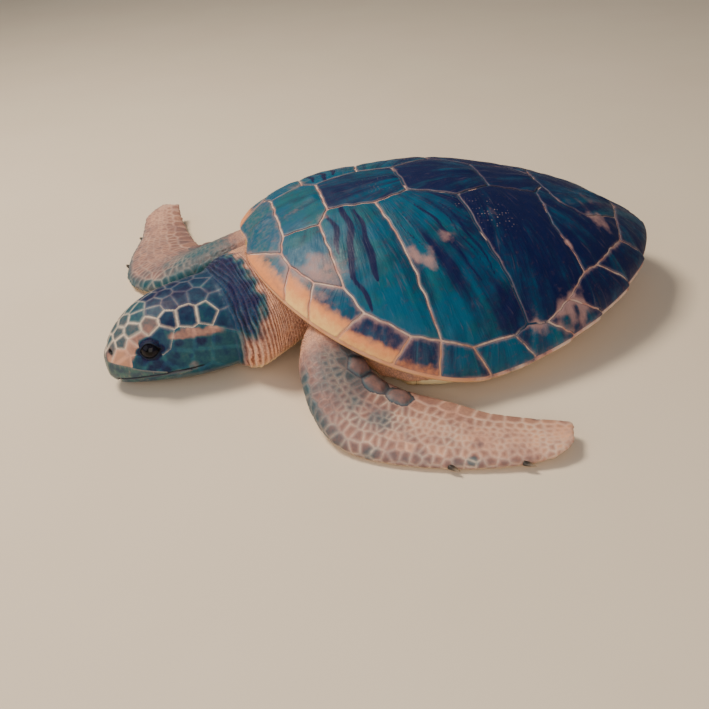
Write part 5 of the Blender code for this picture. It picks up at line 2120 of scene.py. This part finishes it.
@dataclass
class Beak:
    """Horny sheaths on the jaws, each a thin closed body laid on the skin."""

    head: HeadForm
    home: Home
    skin: Object
    stand: float = 0.9 * MM          # how far a sheath stands over the skin
    root: float = 0.6 * MM           # how deep its edge lies in it
    wall: float = 1.4 * MM
    lip: float = 1.6 * MM
    jaw_back: float = 0.60
    jaw_depth: float = 15 * MM

    def inside(self, upper: bool, share: Array, height: Array) -> Array:
        """Measure points against a sheath.

        Args:
            upper: whether it is the upper sheath.
            share: place of each along the head.
            height: height of each.

        Returns:
            Distance of each inside the sheath's outline.
        """
        gape = self.head.gape(share, height)
        if upper:
            back, edge = self.head.beak_back, smooth(self.head.beak_top, share) - height
        else:
            back, gape = self.jaw_back, -gape
            edge = self.jaw_depth * ease(back, 0.15, share) + 0.004 - (
                smooth(self.head.mouth_line, share) - height)
        return np.minimum(np.minimum(edge, (back - share) * self.head.length), gape)

    def sheath(self, name: str, inside: Array, lip: Array) -> Object:
        """Lift a patch of skin into a closed sheath.

        Args:
            name: the sheath's name.
            inside: distance of each point of the skin inside the outline.
            lip: distance of each from the line of the mouth.

        Returns:
            The sheath.
        """
        mesh = self.skin.data
        co = read(mesh)
        normal = read(mesh, "normal")
        keep = inside > -self.lip
        faces = [tuple(p.vertices) for p in mesh.polygons if all(keep[i] for i in p.vertices)]
        used = sorted({i for f in faces for i in f})
        place = {old: new for new, old in enumerate(used)}
        rise = (self.stand + self.root) * ease(-0.5 * self.lip, 0.9 * MM, inside) - self.root
        top = co[used] + normal[used] * rise[used][:, None]
        thing = make_piece(name, self.home.take(top), [[place[i] for i in f] for f in faces], self.home,
                           {"inset": np.maximum(inside[used], 0.0), "lip": lip[used]})
        thing.data = modified(thing.data.copy(), "SOLIDIFY", thickness=self.wall, offset=-1.0)
        return thing

    def build(self) -> None:
        """Build and dress both sheaths."""
        finish = BeakHorn().made()
        co = self.home.take(read(self.skin.data))
        share, left, _ = self.head.place(co)
        far = (share > 0.8) | (np.abs(left) > 0.12)
        lip = np.abs(self.head.gape(share, co[:, 2]))
        for name, node in (("upper_sheath", "upper_beak"), ("lower_sheath", "lower_jaw")):
            inside = np.where(far, -1.0, self.inside(node == "upper_beak", share, co[:, 2]))
            settle(self.sheath(name, inside, lip), finish, [node])


@dataclass(frozen=True)
class WetEye:
    """Cornea over a near-black iris: wet and glassy, IOR 1.38 under a clear tear film."""

    ball: str = "#05060c"
    iris: str = "#0b0a14"
    pupil: str = "#010103"
    fleck: str = "#15111a"

    def made(self) -> Material:
        """Make the material.

        Returns:
            The material.
        """
        look = Look("wet_cornea")
        (off,) = look.values("off_axis")
        colour = look.layered(
            self.iris, (look.grain(1.2 * MM, 4.0).ramp(0.35, 0.7), self.fleck),
            (off.ramp(5.2 * MM, 4.6 * MM), self.pupil), (off.ramp(9.0 * MM, 10.0 * MM), self.ball))
        return look.finished({"Base Color": colour, "Roughness": 0.22, "IOR": 1.38,
                              "Specular IOR Level": 0.12, "Coat Weight": 0.22, "Coat Roughness": 0.05})


@dataclass
class Eyes:
    """Both eyeballs, with a slight bulge at the cornea."""

    head: HeadForm
    home: Home
    bulge: float = 0.7 * MM

    def build(self) -> None:
        """Build and dress the eyes."""
        finish = WetEye().made()
        for side, sign in (("left", 1), ("right", -1)):
            middle, axes = self.head.eye(sign)
            bm = bmesh.new()
            bmesh.ops.create_uvsphere(bm, u_segments=56, v_segments=36, radius=self.head.eye_radius)
            co = np.array([v.co[:] for v in bm.verts])
            bm.verts.index_update()
            faces = [[v.index for v in f.verts] for f in bm.faces]
            bm.free()
            off = np.hypot(co[:, 0], co[:, 1])
            front = co[:, 2] > 0
            co[:, 2] += np.where(front, self.bulge * ease(9 * MM, 0.0, off), 0.0)
            numbers = {"off_axis": np.where(front, off, 0.02)}
            thing = make_piece(f"eyeball_{side}", co @ axes + middle, faces, self.home, numbers)
            face_out(thing.data)
            settle(thing, finish, [f"eye_{side}"])


@dataclass(frozen=True)
class ClawHorn:
    """Claw keratin: satin horn, dark at the root and worn pale at the tip."""

    root: str = "#2d2620"
    tip: str = "#8d7a63"

    def made(self) -> Material:
        """Make the material.

        Returns:
            The material.
        """
        look = Look("claw_keratin")
        fine = look.grain(1.5 * MM)
        (along,) = look.values("along")
        colour = look.layered(self.root, (along.wander(fine, 0.4).ramp(0.3, 0.95), self.tip))
        return look.finished({"Base Color": colour, "Roughness": 0.40, "IOR": 1.54}, fine, 0.4, 0.2 * MM)


@dataclass
class Claws:
    """Short curved claws on the limbs' leading edges."""

    home: Home
    length: float = 13 * MM
    radius: float = 3.6 * MM
    sweep: float = 1.6
    sides: int = 14
    rings: int = 12

    def claw(self, name: str, limb: Limb, place: float) -> Object:
        """Build one claw.

        Args:
            name: the claw's name.
            limb: the limb that it is on.
            place: where along the leading edge.

        Returns:
            The claw, a curved and pointed closed body.
        """
        lead, trail, _ = limb.strip(np.array([place, place + 0.3]))
        out, ahead = unit(lead[0] - trail[0]), unit(lead[1] - lead[0])
        way = unit((out + ahead * self.sweep) * (1, 1, 0))
        side = np.array([-way[1], way[0], 0.0])
        co, shares = [], np.linspace(0, 1, self.rings)
        for share in shares:
            radius = self.radius * (1 - share ** 1.6) ** 0.75 + 0.25 * MM
            middle = (lead[0] + way * self.length * (share - 0.18)
                      + ahead * 1.6 * MM * share ** 2 - np.array([0, 0, 1.2 * MM * share ** 2]))
            for k in range(self.sides):
                angle = 2 * math.pi * k / self.sides
                co.append(middle + side * radius * math.cos(angle)
                          + np.array([0, 0, 0.8 * radius * math.sin(angle)]))
        co = np.array(co)
        co[:, 2] = np.maximum(co[:, 2], 0.0)
        thing = make_piece(name, co, tube(self.rings, self.sides), self.home,
                           {"along": np.repeat(shares, self.sides)})
        face_out(thing.data)
        return thing

    def build(self) -> None:
        """Build and dress every claw."""
        finish = ClawHorn().made()
        for name, limb in LIMBS.items():
            for number, place in enumerate(limb.claws, 1):
                settle(self.claw(f"curved_{name}_{number}", limb, place), finish,
                       [f"{name}_{number}"])


# ---- Stage ----
@dataclass(frozen=True)
class FloorPaint:
    """Matt emulsion rolled onto a smooth floor: pale sand, faintly cloudy, with no shine."""

    light: str = "#e8dac4"
    warm: str = "#e2d2bb"

    def made(self) -> Material:
        """Make the material.

        Returns:
            The material.
        """
        look = Look("matt_painted_floor")
        colour = look.layered(self.warm, (look.grain(0.25, 2.0), self.light))
        return look.finished({"Base Color": colour, "Roughness": 0.85, "Specular IOR Level": 0.25})


@dataclass(frozen=True)
class Stage:
    """Plain pale floor, soft studio light and the camera, placed from the shell's middle."""

    home: Home
    aim: tuple[float, float, float] = (0.083, -0.162, -0.021)
    azimuth: float = 80.0
    height: float = 33.0
    roll: float = -4.0
    distance: float = 1.258
    lens: float = 43.8
    floor_half: float = 12.0

    def camera(self) -> None:
        """Stand the camera at the turtle's left, a little ahead and above."""
        az, el = math.radians(self.azimuth), math.radians(self.height)
        back = np.array([math.sin(az) * math.cos(el), -math.cos(az) * math.cos(el), math.sin(el)])
        right = np.array([math.cos(az), math.sin(az), 0.0])
        up = np.cross(back, right)
        turn = math.radians(self.roll)
        right, up = (math.cos(turn) * right + math.sin(turn) * up,
                     -math.sin(turn) * right + math.cos(turn) * up)
        data = bpy.data.cameras.new("camera")
        data.lens = self.lens
        data.clip_start = 0.01
        thing = placed("camera", data)
        place = self.home.put(np.array(self.aim) + back * self.distance)
        axes = Matrix((right, up, back)).transposed().to_4x4()
        thing.matrix_world = Matrix.Translation(Vector(place)) @ axes
        bpy.context.scene.camera = thing

    def lamp(self, name: str, place: Sequence[float], aim: Sequence[float], size: float,
             power: float, colour: str) -> None:
        """Add a square soft light.

        Args:
            name: the light's name.
            place: where it hangs, in the shell's frame.
            aim: what it faces.
            size: its side.
            power: its strength in watts.
            colour: its colour.
        """
        data = bpy.data.lights.new(name, "AREA")
        data.size = size
        data.energy = power
        data.color = linear(colour)[:3]
        thing = placed(name, data)
        start = Vector(self.home.put(place))
        thing.location = start
        thing.rotation_euler = (Vector(self.home.put(aim)) - start).to_track_quat("-Z", "Y").to_euler()

    def floor(self) -> None:
        """Lay a wide matt floor just under the turtle."""
        corners = [(x * self.floor_half, y * self.floor_half, -0.4 * MM)
                   for x, y in ((-1, -1), (1, -1), (1, 1), (-1, 1))]
        thing = make_piece("floor", corners, [(0, 1, 2, 3)], self.home)
        thing.data.materials.append(FloorPaint().made())

    def build(self) -> None:
        """Set the stage."""
        self.camera()
        self.floor()
        self.lamp("key", (-0.7, -1.3, 2.4), (0.0, 0.0, 0.1), 0.8, 84.0, "#fff0da")
        self.lamp("fill", (2.3, -0.6, 1.0), (0.0, -0.1, 0.1), 2.0, 36.0, "#fff1e6")
        self.lamp("side", (0.6, -2.4, 1.3), (0.0, -0.1, 0.1), 1.8, 10.0, "#f2f4ff")
        world = bpy.data.worlds.new("studio")
        world.use_nodes = True
        ground = world.node_tree.nodes["Background"]
        ground.inputs[0].default_value = linear("#dfe6f2")
        ground.inputs[1].default_value = 0.22
        bpy.context.scene.world = world


def main() -> None:
    """Build the turtle, piece by piece."""
    logging.basicConfig(level=logging.INFO, format="%(name)s: %(message)s")
    form = ShellForm()
    head = HeadForm()
    home = Home.found(form.front + form.length)
    Stage(home).build()
    Carapace(form, ShellMap(form), home).build()
    Plastron(form, home).build()
    skin = Skin(form, head, home).build()
    Beak(head, home, skin).build()
    Eyes(head, home).build()
    Claws(home).build()


if __name__ == "__main__":
    main()
